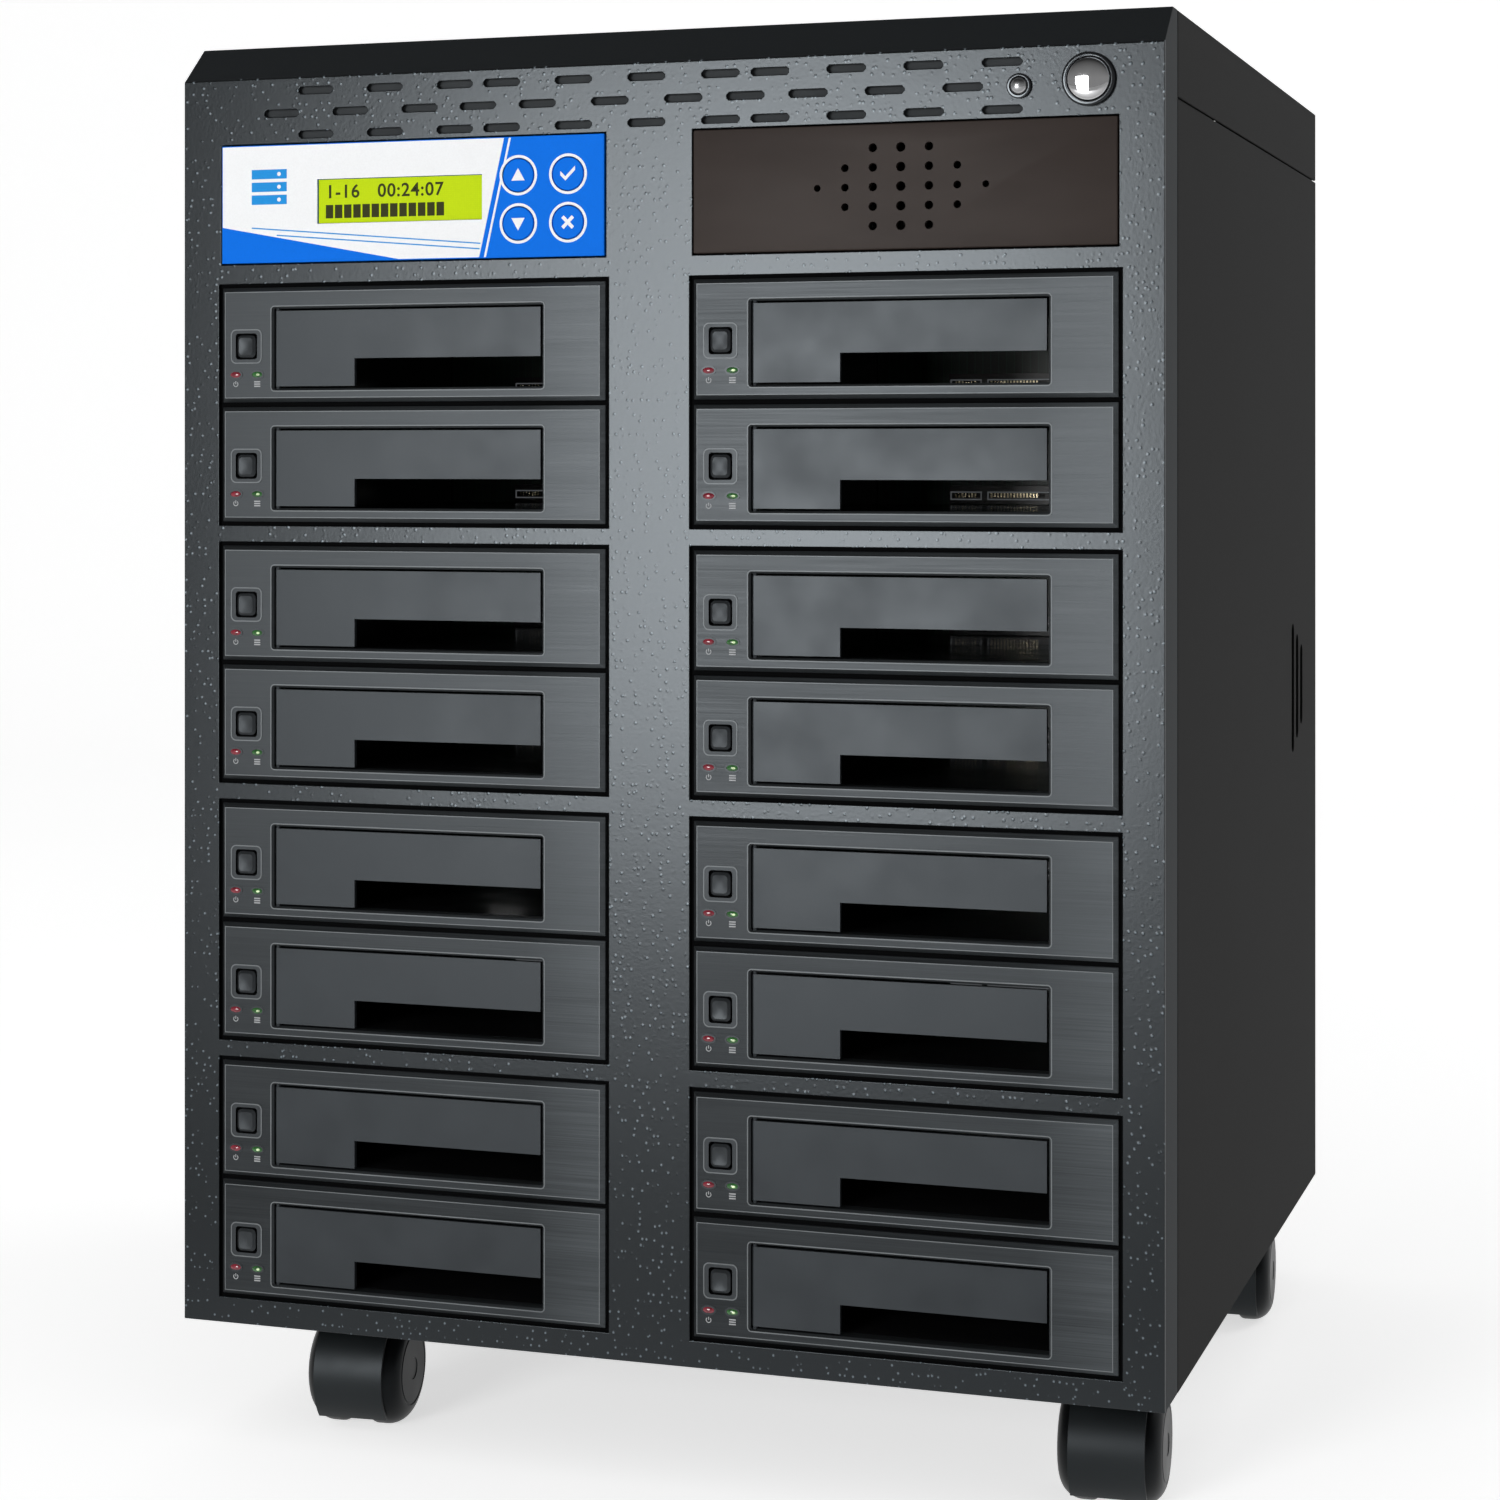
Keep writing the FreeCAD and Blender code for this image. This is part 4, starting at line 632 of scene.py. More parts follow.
# %% Helpers for trees that make shapes
def shape_tree(title, first, inputs):
    """A Geometry Nodes tree that takes a shape and named sizes; gives it and its inputs' identifiers."""
    tree = bpy.data.node_groups.new(title, "GeometryNodeTree")
    sockets = {}
    for word, kind in [(first, "Geometry")] + inputs + [("Material", "Material")]:
        sockets[word] = tree.interface.new_socket(
            word, in_out="INPUT", socket_type="NodeSocket" + kind).identifier
    tree.interface.new_socket("Result", in_out="OUTPUT", socket_type="NodeSocketGeometry")
    return tree, sockets


def close_tree(work, entry, shape):
    """End a tree: real geometry instead of instances, then its material."""
    whole = work.add("GeometryNodeRealizeInstances", {0: shape})
    coloured = work.add("GeometryNodeSetMaterial", {
        "Geometry": whole.outputs[0], "Material": entry.outputs["Material"]})
    work.add("NodeGroupOutput", {0: coloured.outputs[0]})


def grow(piece, tree, sockets, settings):
    """Put a tree on a piece and set its inputs by their identifiers."""
    modifier = piece.modifiers.new("tree", "NODES")
    modifier.node_group = tree
    for word, setting in settings.items():
        modifier[sockets[word]] = setting


# %% The repeating tree
def make_repeat_tree():
    """The piece on a line of points, then that on a second line, and that on a third."""
    tree, sockets = shape_tree("repeat along three directions", "Shape", [
        (f"{word} {letter}", kind)
        for letter in "ABC" for word, kind in (("Count", "Int"), ("Step", "Vector"))])
    work = Tree(tree)
    entry = work.add("NodeGroupInput")
    shape = entry.outputs["Shape"]
    for letter in "ABC":
        line = work.add("GeometryNodeMeshLine", {
            "Count": entry.outputs[f"Count {letter}"], "Offset": entry.outputs[f"Step {letter}"]})
        shape = work.add("GeometryNodeInstanceOnPoints", {
            "Points": line.outputs[0], "Instance": shape}).outputs[0]
    close_tree(work, entry, shape)
    return tree, sockets


repeat_tree, repeat_sockets = make_repeat_tree()


def repeated(piece, material, *runs):
    """Repeat a piece along up to three runs of (count, step), then bake it."""
    runs = list(runs) + [(1, (0.0, 0.0, 0.0))] * (3 - len(runs))
    settings = {"Material": material}
    for letter, (count, step) in zip("ABC", runs):
        settings.update({f"Count {letter}": count, f"Step {letter}": step})
    piece.data.materials.append(material)
    grow(piece, repeat_tree, repeat_sockets, settings)
    return wear(bake(piece), material)


def in_every_bay(piece, material):
    """Repeat a piece that stands in the first bay in all sixteen."""
    return repeated(piece, material,
                    (2, (0.0, 0.0, -rack_pitch)), (4, (0.0, 0.0, -pair_pitch)),
                    (2, (column_pitch, 0.0, 0.0)))


print("tree inputs:", ", ".join(repeat_sockets))

# %% [markdown]
# ## Rack lamps and their signs
#
# Under each button sit a red and a green light pipe with a printed sign below each. A lamp is a small
# oval dome in a black surround: a low sphere, squashed. On the green one sits a painted highlight: a
# smaller dome, set off its middle, that glows brighter. The signs are generic: a ring with a bar for
# power, three bars for drive activity.

# %% Lamps in every bay
button_one = middle("rack_button_01")
LAMP_ASIDE = 4.3 * MM
LAMP_BELOW = 10.2 * MM
SIGN_BELOW = 13.6 * MM


def dome_mesh(name, centre, radii, rings=8, steps=20):
    """Half of a squashed sphere that bulges towards -Y, closed at its back."""
    shape = bmesh.new()
    tip = shape.verts.new((centre.x, centre.y - radii[1], centre.z))
    last = None
    for ring in range(1, rings + 1):
        tilt = 0.5 * math.pi * ring / rings
        line = []
        for step in range(steps):
            turn = 2.0 * math.pi * step / steps
            line.append(shape.verts.new((
                centre.x + radii[0] * math.sin(tilt) * math.cos(turn),
                centre.y - radii[1] * math.cos(tilt),
                centre.z + radii[2] * math.sin(tilt) * math.sin(turn))))
        for step in range(steps):
            after = (step + 1) % steps
            if last is None:
                shape.faces.new((tip, line[step], line[after]))
            else:
                shape.faces.new((last[step], line[step], line[after], last[after]))
        last = line
    shape.faces.new(last)
    bmesh.ops.recalc_face_normals(shape, faces=shape.faces)
    mesh = mesh_from(shape, name)
    for face in mesh.polygons:
        face.use_smooth = len(face.vertices) < 5
    return mesh


LAMP_RADII = (2.2 * MM, 0.8 * MM, 1.15 * MM)
LAMP_SUNK = 0.15 * MM
HIGHLIGHT_RADII = (0.75 * MM, 0.3 * MM, 0.45 * MM)
HIGHLIGHT_PLACE = Vector((0.5 * MM, -0.65 * MM, 0.0))
lamp_line = Vector((button_one.x, bezel_face + LAMP_SUNK, button_one.z - LAMP_BELOW))
for word, aside, glass in (("red", -LAMP_ASIDE, lamp_red), ("green", LAMP_ASIDE, lamp_green)):
    centre = lamp_line + Vector((aside, 0.0, 0.0))
    lamp = link(f"rack_lamps_{word}", dome_mesh(f"rack_lamps_{word}", centre, LAMP_RADII))
    in_every_bay(lamp, glass)
    report(settle(lamp, CABINET, "lens_clear", "indicator_lamps"))
# painted highlight: a small dome off the middle of each green lamp, glowing brighter than the lamp
highlight_core = lamp_line + Vector((LAMP_ASIDE, 0.0, 0.0)) + HIGHLIGHT_PLACE
painted_highlight = link("rack_lamp_cores", dome_mesh("rack_lamp_cores", highlight_core, HIGHLIGHT_RADII, 4, 12))
in_every_bay(painted_highlight, lamp_spark)
report(settle(painted_highlight, CABINET, "lens_clear"))

# %% [markdown]
# ### Flat prints from curves
#
# A print has an outline and holes and almost no thickness. A 2D curve does exactly that: every closed
# spline inside another becomes a hole, and a small extrusion gives it the thickness of ink. The curve
# is drawn in its own XY plane, made a mesh, and then stood up on the front by moving its vertices, so
# its object stays at the origin.

# %% Prints: outlines, circles, and standing them up
PRINT = 0.06 * MM


def arc(centre, radius, start=0.0, end=360.0, steps=40):
    """Points of an arc in degrees; a full turn leaves out its last point."""
    full = abs(end - start) >= 360.0
    count = steps if full else steps + 1
    return [(centre[0] + radius * math.cos(math.radians(start + (end - start) * i / steps)),
             centre[1] + radius * math.sin(math.radians(start + (end - start) * i / steps)))
            for i in range(count)]


def bar(left, low, right, high):
    """A rectangle between two corners."""
    return [(left, low), (right, low), (right, high), (left, high)]


def stand_up(piece, face_y, thickness):
    """Turn a flat drawing in XY into a sheet on the front, with its face towards -Y."""
    for vertex in piece.data.vertices:
        x, y, z = vertex.co
        vertex.co = (x, face_y - thickness / 2 - z, y)
    return piece


def print_sheet(name, outlines, face_y, material, thickness=PRINT):
    """A flat sheet bounded by closed outlines of (x, z) points; inner outlines are holes."""
    drawing = bpy.data.curves.new(name, "CURVE")
    drawing.dimensions = "2D"
    drawing.fill_mode = "BOTH"
    drawing.extrude = thickness / 2
    for outline in outlines:
        spline = drawing.splines.new("POLY")
        spline.points.add(len(outline) - 1)
        for point, (x, z) in zip(spline.points, outline):
            point.co = (x, z, 0.0, 1.0)
        spline.use_cyclic_u = True
    piece = bpy.data.objects.new(name, drawing)
    bpy.context.scene.collection.objects.link(piece)
    return wear(weld(stand_up(bake(piece), face_y, thickness)), material)


print("a print is", PRINT / MM, "mm thick")

# %% Oval surrounds of the lamps
SURROUND = (0.55 * MM, 0.5 * MM)
UNDER_LAMP = 0.1 * MM


def oval(centre, across, up, steps=24):
    """Points of an oval about a place."""
    return [(centre[0] + across * math.cos(2.0 * math.pi * i / steps),
             centre[1] + up * math.sin(2.0 * math.pi * i / steps)) for i in range(steps)]


surrounds = []
for aside in (-LAMP_ASIDE, LAMP_ASIDE):
    lamp_place = (lamp_line.x + aside, lamp_line.z)
    surrounds.append(oval(lamp_place, LAMP_RADII[0] + SURROUND[0], LAMP_RADII[2] + SURROUND[1]))
    surrounds.append(oval(lamp_place, LAMP_RADII[0] - UNDER_LAMP, LAMP_RADII[2] - UNDER_LAMP))
lamp_surrounds = print_sheet("lamp_surrounds", surrounds, bezel_face, plastic_black, 0.2 * MM)
in_every_bay(lamp_surrounds, plastic_black)
report(settle(lamp_surrounds, CABINET, "bezel_plastic"))

# %% [markdown]
# ### Frames and rims of a rack
#
# A rack's moulding has a raised frame round its button, a recess in which the button slides, and a
# pocket for its door. The frame and fine rims round the door pocket and along the rack's bevel are
# light grey, painted highlights of edges that catch the light; a black sheet at the bottom of the
# recess is painted shade. Each is a ring with a hole, so each is a flat print with more thickness.

# %% Button frame (painted highlight), plate and well (painted shade)
def rounded_bar(left, low, right, high, radius):
    """A rectangle with quarter-round corners."""
    points = []
    for corner, start in (((right - radius, high - radius), 0.0), ((left + radius, high - radius), 90.0),
                          ((left + radius, low + radius), 180.0), ((right - radius, low + radius), 270.0)):
        points += arc(corner, radius, start, start + 90.0, 6)
    return points


def round_middle(centre, half_wide, half_tall, radius=0.0):
    """A rectangle about a place, with round corners or square ones."""
    edges = (centre[0] - half_wide, centre[1] - half_tall, centre[0] + half_wide, centre[1] + half_tall)
    return rounded_bar(*edges, radius) if radius else bar(*edges)


BUTTON_RECESS = 5.6 * MM         # half the side of the recess round a button
FRAME = BUTTON_RECESS + 0.2 * MM
FRAME_LINE, FRAME_ROUND = 0.4 * MM, 1.7 * MM
PLATE_HOLE = (4.3 * MM, 4.7 * MM, 1.2 * MM)      # half its width, half its height, its corners
WELL_HOLE = (3.8 * MM, 4.2 * MM)
WELL_DEPTH = 1.0 * MM
button_place = (button_one.x, button_one.z)
frame_inside = round_middle(button_place, FRAME, FRAME, FRAME_ROUND)
frame_outside = round_middle(button_place, FRAME + FRAME_LINE, FRAME + FRAME_LINE, FRAME_ROUND + 0.3 * MM)
# painted highlight: a light grey frame round each button
button_frame_highlight = print_sheet("button_frames", [frame_outside, frame_inside],
                           bezel_face, plastic_edge, 0.25 * MM)
button_plate = print_sheet("button_plates", [frame_inside, round_middle(button_place, *PLATE_HOLE)],
                           bezel_face, plastic_button, 0.12 * MM)
well = BUTTON_RECESS - 0.02 * MM
# painted shade: a black sheet at the bottom of each button's recess
button_well_shade = print_sheet("button_wells", [
    round_middle(button_place, well, well), round_middle(button_place, *WELL_HOLE)],
    bezel_face + WELL_DEPTH, foam_black, 0.1 * MM)

# %% Pocket rim and rack rim, as painted highlights
HINGE_SIDE, LATCH_SIDE = 0.4 * MM, 0.7 * MM      # play beside a door in its pocket
PIN_REACH = 2.0 * MM                             # how far the hinge pins stand out of the door's ends
RIM_NEAR, RIM_FAR = 0.8 * MM, 1.2 * MM           # the rim's edges, from the pocket's own
POCKET_ROUND = 0.4 * MM
BEVEL, BEVEL_LINE = 1.5 * MM, 0.3 * MM
door_low, door_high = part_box("drive_door_01")
pocket_low = (door_low.x - HINGE_SIDE, door_low.z + PIN_REACH)
pocket_high = (door_high.x + LATCH_SIDE, door_high.z - PIN_REACH)


def round_pocket(grow):
    """The outline of a door's pocket, made larger all round."""
    return rounded_bar(pocket_low[0] - grow, pocket_low[1] - grow, pocket_high[0] + grow,
                       pocket_high[1] + grow, grow + POCKET_ROUND)


def round_rack(inset):
    """The outline of the first rack's face, made smaller all round."""
    low, high = racks_high.z - bezel_height, racks_high.z
    return bar(racks_low.x + inset, low + inset, racks_low.x + bezel_width - inset, high - inset)


# painted highlights: light grey rims round the door pocket and along the rack's bevel
pocket_rim_highlight = print_sheet("pocket_rims", [round_pocket(RIM_FAR), round_pocket(RIM_NEAR)],
                         bezel_face, plastic_edge, 0.12 * MM)
rack_rim_highlight = print_sheet("rack_rims", [round_rack(BEVEL), round_rack(BEVEL + BEVEL_LINE)],
                       bezel_face, plastic_edge, 0.06 * MM)
for piece, finish in (
        (rack_rim_highlight, plastic_edge), (button_frame_highlight, plastic_edge), (button_plate, plastic_button),
        (button_well_shade, foam_black), (pocket_rim_highlight, plastic_edge)):
    in_every_bay(piece, finish)
    report(settle(piece, CABINET, "bezel_plastic"))

# %% [markdown]
# ### Black sheets and filter behind the openings
#
# The gaps round the racks show only shade, so a black sheet closes them from behind as painted shade,
# and no light shines through them: a sheet with two windows for a pair of racks, repeated. Behind the
# vent slots lies a grey dust filter. It has a notch on its right, where the power lamp passes.

# %% Black sheet behind the gaps, as painted shade
SHEET = 1.5 * MM                 # from the front panel's face to its back
OPENING = 1.4 * MM               # from a rack to the edge of its opening
LAP = 1.2 * MM
OVER_RACK = 0.02 * MM
column_right = racks_low.x + bezel_width
pair_low = racks_high.z - bezel_height - rack_pitch
painted_shade_sheet_grow = OPENING + LAP
strips = [bar(racks_low.x - painted_shade_sheet_grow, pair_low - painted_shade_sheet_grow, column_right + painted_shade_sheet_grow,
              racks_high.z + painted_shade_sheet_grow)]
for top in (racks_high.z, racks_high.z - rack_pitch):
    strips.append(bar(racks_low.x - OVER_RACK, top - bezel_height - OVER_RACK,
                      column_right + OVER_RACK, top + OVER_RACK))
# painted shade: a black sheet behind the gaps round each pair of racks
painted_shade_sheet = print_sheet("bay_foam", strips, panel_low.y + SHEET + 0.4 * MM, foam_black, 0.3 * MM)
repeated(painted_shade_sheet, foam_black, (4, (0.0, 0.0, -pair_pitch)), (2, (column_pitch, 0.0, 0.0)))
report(settle(painted_shade_sheet, CABINET, "bezel_plastic"))

# %% Dust filter
SLOTS_LEFT = -156.0 * MM
ABOVE_FASCIA, BELOW_EDGE = 0.8 * MM, 15.4 * MM
NOTCH_DEEP, NOTCH_SHALLOW = 24.0 * MM, 10.0 * MM     # from the switch's ring, to the left
TONGUE = 6.1 * MM
filter_grey = moulded_plastic("filter_grey", (0.050, 0.054, 0.057), 0.8, 0.1, 500.0, 0.3 * MM)
ring_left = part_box("power_switch_body")[0].x
notch_left, slots_right = ring_left - NOTCH_DEEP, ring_left - NOTCH_SHALLOW
slot_low, slot_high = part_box("control_panel")[1].z + ABOVE_FASCIA, panel_high.z - BELOW_EDGE
slot_filter = print_sheet("slot_filter", [[
    (SLOTS_LEFT, slot_low), (slots_right, slot_low), (slots_right, slot_low + TONGUE),
    (notch_left, slot_low + TONGUE), (notch_left, slot_high - TONGUE),
    (slots_right, slot_high - TONGUE), (slots_right, slot_high), (SLOTS_LEFT, slot_high)]],
    panel_low.y + SHEET + 1.2 * MM, filter_grey, 0.3 * MM)
report(settle(slot_filter, CABINET, "powder_coat"))

# %% Signs under the lamps
SIGN = 1.0 * MM
STROKE = 0.28 * SIGN
sign_z = button_one.z - SIGN_BELOW
power_x, drive_x = button_one.x - LAMP_ASIDE, button_one.x + LAMP_ASIDE
power_ring = (arc((power_x, sign_z), SIGN, 130.0, 410.0)
              + arc((power_x, sign_z), SIGN - STROKE, 410.0, 130.0))
power_bar = bar(power_x - STROKE / 2, sign_z, power_x + STROKE / 2, sign_z + 1.1 * SIGN)
power_sign = print_sheet("power_signs", [power_ring, power_bar], bezel_face, ink_legend)
drive_sign = print_sheet("drive_signs", [
    bar(drive_x - 1.2 * SIGN, sign_z + step - 0.22 * SIGN, drive_x + 1.2 * SIGN, sign_z + step + 0.22 * SIGN)
    for step in (-0.8 * SIGN, 0.0, 0.8 * SIGN)], bezel_face, ink_legend)
for piece in (power_sign, drive_sign):
    in_every_bay(piece, ink_legend)
    report(settle(piece, CABINET, "bezel_plastic"))

# %% [markdown]
# ## Control panel
#
# The panel's moulding carries a printed overlay: a white field, a blue field with the keys, and a blue
# wedge along the bottom. Its edges here are straight and its lines parallel, a plain layout of the
# same colours. The overlay is cut out round the display window and the keys. Under it the moulding
# keeps its CAD shape with softened edges.

# %% Places on the panel
fascia_low, fascia_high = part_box("control_panel")
overlay_y = fascia_low.y
WIDE, TALL = (fascia_high.x - fascia_low.x) / MM, (fascia_high.z - fascia_low.z) / MM
KEYS = ("up", "down", "enter", "back")
KEY_HOLE = 6.15 * MM
OVERLAY = 0.12 * MM              # thickness of the printed film
# from here on, places on the panel are in millimetres from its lower left corner
RIM = 0.35                       # the moulding shows as a thin edge round the overlay
SPLIT_TOP, SPLIT_LOW = 110.5, 101.0
WINDOW = (38.1, TALL - 28.8, 102.1, TALL - 12.8)
WEDGE_TOP, WEDGE_END = 13.0, 70.0
WEDGE_GAP_UP, WEDGE_GAP_ASIDE = 1.6, 8.0
BAND, LINE = 1.8, 0.8            # widths of the strips between the white field and the blue one


def on_panel(across, up):
    """A place on the panel, from millimetres to the frame's metres."""
    return (fascia_low.x + across * MM, fascia_low.z + up * MM)


def key_hole(word, radius=KEY_HOLE):
    """A circle about a key."""
    key = middle(f"key_{word}")
    return arc((key.x, key.z), radius)


def beside_split(near, far):
    """A strip that runs along the slanted edge of the white field, from near to far of it."""
    return [on_panel(SPLIT_LOW + near, RIM), on_panel(SPLIT_LOW + far, RIM),
            on_panel(SPLIT_TOP + far, TALL - RIM), on_panel(SPLIT_TOP + near, TALL - RIM)]


print(f"panel {WIDE:.1f} by {TALL:.1f} mm")

# %% The overlay's fields
report(soften("control_panel", 0.25 * MM, ink_blue))
window = bar(*on_panel(WINDOW[0], WINDOW[1]), *on_panel(WINDOW[2], WINDOW[3]))
white_field = [on_panel(RIM, WEDGE_TOP), on_panel(WEDGE_END, RIM), on_panel(SPLIT_LOW, RIM),
               on_panel(SPLIT_TOP, TALL - RIM), on_panel(RIM, TALL - RIM)]
blue_field = [on_panel(SPLIT_LOW + BAND + LINE, RIM), on_panel(WIDE - RIM, RIM),
              on_panel(WIDE - RIM, TALL - RIM), on_panel(SPLIT_TOP + BAND + LINE, TALL - RIM)]
wedge = [on_panel(RIM, RIM), on_panel(WEDGE_END - WEDGE_GAP_ASIDE, RIM),
         on_panel(RIM, WEDGE_TOP - WEDGE_GAP_UP)]
for name, outlines, ink in (
        ("overlay_white", [white_field, window], ink_white),
        ("overlay_blue", [blue_field] + [key_hole(word) for word in KEYS], ink_blue),
        ("overlay_wedge", [wedge], ink_blue),
        ("overlay_band", [beside_split(0.0, BAND)], ink_blue),
        ("overlay_line", [beside_split(BAND, BAND + LINE)], ink_white)):
    field = print_sheet(name, outlines, overlay_y, ink, OVERLAY)
    report(settle(field, CABINET, "panel_blue"))

# %% Key rings, thin lines and a plain sign
RING_EDGE = 7.1 * MM
THIN = 0.45
top_y = overlay_y - OVERLAY


def slanted_line(across, up, to_across, to_up):
    """A thin line between two places on the panel."""
    return [on_panel(across, up), on_panel(to_across, to_up), on_panel(to_across, to_up + THIN),
            on_panel(across, up + THIN)]


rings = [key_hole(word, radius) for word in KEYS for radius in (RING_EDGE, KEY_HOLE)]
lines = [slanted_line(12.0, 12.4, 101.5, 5.0), slanted_line(22.0, 9.6, 101.2, 3.1)]
# a generic sign for stored data: three stacked slabs, each with a small light
SLAB_LEFT, SLAB_RIGHT, SLAB_LOW = 12.0, 26.0, 21.0
SLAB_PITCH, SLAB_TALL = 4.6, 3.4
LIGHT_ACROSS, LIGHT_RADIUS = 22.9, 0.75 * MM
slabs = []
for step in range(3):
    low = SLAB_LOW + SLAB_PITCH * step
    slabs.append(bar(*on_panel(SLAB_LEFT, low), *on_panel(SLAB_RIGHT, low + SLAB_TALL)))
    slabs.append(arc(on_panel(LIGHT_ACROSS, low + SLAB_TALL / 2), LIGHT_RADIUS, steps=20))
for name, outlines, ink, thickness in (
        ("key_rings", rings, ink_white, 0.05 * MM), ("thin_lines", lines, ink_sky, 0.03 * MM),
        ("storage_sign", slabs, ink_sky, 0.04 * MM)):
    report(settle(print_sheet(name, outlines, top_y, ink, thickness), CABINET, "panel_blue"))

# %% [markdown]
# ## Keys
#
# The keys are discs under the overlay film, crowned a little and rounded at the rim, each with a plain
# white sign. A disc like that is a turned shape: a short profile spun round an axis. The same helper
# turns the power button, the lamp and the wheels.

# %% A lathe
FRONTWARD, REARWARD = (0.0, -1.0, 0.0), (0.0, 1.0, 0.0)
ON_AXIS = 1e-7


def lathe(name, profile, start, axis, steps=64):
    """Spin a profile of (along, radius) points round an axis that runs through start."""
    along = Vector(axis).normalized()
    side = along.orthogonal().normalized()
    up = along.cross(side)
    shape = bmesh.new()
    rings = []
    for distance, radius in profile:
        if radius < ON_AXIS:
            rings.append([shape.verts.new(start + along * distance)])
            continue
        ring = []
        for step in range(steps):
            turn = 2.0 * math.pi * step / steps
            out = side * math.cos(turn) + up * math.sin(turn)
            ring.append(shape.verts.new(start + along * distance + out * radius))
        rings.append(ring)
    for first, second in zip(rings, rings[1:]):
        for step in range(steps):
            after = (step + 1) % steps
            corners = [first[step % len(first)], second[step % len(second)],
                       second[after % len(second)], first[after % len(first)]]
            corners = list(dict.fromkeys(corners))
            if len(corners) > 2:
                shape.faces.new(corners)
    bmesh.ops.recalc_face_normals(shape, faces=shape.faces)
    return mesh_from(shape, name, sharp=SHARP)


def rounded(corner, radius, start, end, steps=6):
    """Profile points of a round about a corner's centre (along, radius), in degrees."""
    return arc(corner, radius, start, end, steps)


trial = lathe("trial", [(0.0, 1.0), (1.0, 1.0)], Vector(), FRONTWARD)
print("a turned tube has", len(trial.polygons), "faces")
bpy.data.meshes.remove(trial)

# %% Keys with their signs
KEY_ROUND = 0.5 * MM
SIGN_REACH = 2.5 * MM
HALF_STROKE = 0.62 * MM


def key_sign(word, x, z):
    """Plain signs: triangles for up and down, a tick for enter, a cross for back."""
    s, t = SIGN_REACH, HALF_STROKE
    if word == "up":
        return [[(x - s, z - 0.75 * s), (x + s, z - 0.75 * s), (x, z + s)]]
    if word == "down":
        return [[(x - s, z + 0.75 * s), (x, z - s), (x + s, z + 0.75 * s)]]
    if word == "enter":
        return [[(x - 1.1 * s, z - 0.2 * s), (x - 0.35 * s, z - 0.95 * s), (x + 1.1 * s, z + 0.5 * s),
                 (x + 1.1 * s, z + 0.5 * s + 2.4 * t), (x - 0.35 * s, z - 0.95 * s + 2.4 * t),
                 (x - 1.1 * s, z - 0.2 * s + 2.4 * t)]]
    arms = []
    for corner in range(4):
        a = math.radians(90.0 * corner + 45.0)
        out = (math.cos(a), math.sin(a))
        side = (-out[1], out[0])
        reach = 1.1 * s
        arms.append((x + out[0] * reach + side[0] * -t, z + out[1] * reach + side[1] * -t))
        arms.append((x + out[0] * reach + side[0] * t, z + out[1] * reach + side[1] * t))
        inner = math.radians(90.0 * corner + 90.0)
        arms.append((x + 1.42 * t * math.cos(inner), z + 1.42 * t * math.sin(inner)))
    return [arms]


for word in KEYS:
    low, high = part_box(f"key_{word}")
    radius = (high.x - low.x) / 2
    centre = Vector(((low.x + high.x) / 2, high.y, (low.z + high.z) / 2))
    length = high.y - low.y
    profile = ([(0.0, 0.0), (0.0, radius)]
               + rounded((length - KEY_ROUND, radius - KEY_ROUND), KEY_ROUND, 90.0, 0.0)
               + [(length, radius - 1.6 * KEY_ROUND), (length, 0.0)])
    cap = link(f"key_{word}_cap", lathe(f"key_{word}_cap", profile, centre, FRONTWARD), ink_blue)
    settle(cap, f"key_{word}", "key_white", f"key_{word}")
    sign = print_sheet(f"key_{word}_sign", key_sign(word, centre.x, centre.z), low.y, ink_white, 0.05 * MM)
    report(cap, settle(sign, f"key_{word}", "key_white"))

# %% [markdown]
# ## Display
#
# Behind the window lies a character display. It shows a running time and a bar of progress blocks,
# both generic. Figures come from a text object that is made a mesh and stood up like the prints.

# %% Lit face, figures and progress blocks
GLASS_INSET, GLASS = 0.2, 0.1 * MM
FIGURES = "1-16   00:24:07"
MARGIN = 3.0                     # from the window's left edge to what it shows, in millimetres
FIGURES_UP, FIGURES_WIDE, FIGURES_TALL = 9.2, 46.0, 6.6
BOLDER = 0.11 * MM
FILM = 0.04 * MM
BLOCKS, BLOCK_PITCH = 13, 3.6
BLOCK_LOW, BLOCK_HIGH, BLOCK_WIDE = 1.9, 6.7, 2.9
glass_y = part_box("control_board")[0].y
lit = bar(*on_panel(WINDOW[0] + GLASS_INSET, WINDOW[1] + GLASS_INSET),
          *on_panel(WINDOW[2] - GLASS_INSET, WINDOW[3] - GLASS_INSET))
display_face = print_sheet("display_face", [lit], glass_y, display_lit, GLASS)
settle(display_face, CABINET, "board_green")


def figures(name, words, across, up, face_y, material):
    """A line of bold figures on the panel, from its lower left corner, drawn out to a width."""
    writing = bpy.data.curves.new(name, "FONT")
    writing.body = words
    writing.size = FIGURES_TALL * MM
    writing.offset = BOLDER
    writing.extrude = FILM / 2
    writing.space_character = 1.1
    piece = bake(link(name, writing))
    x, z = on_panel(across, up)
    stretch = FIGURES_WIDE * MM / max(vertex.co.x for vertex in piece.data.vertices)
    piece.data.transform(Matrix.Translation((x, z, 0.0)) @ Matrix.Diagonal((stretch, 1.0, 1.0, 1.0)))
    return wear(weld(stand_up(piece, face_y, FILM)), material)


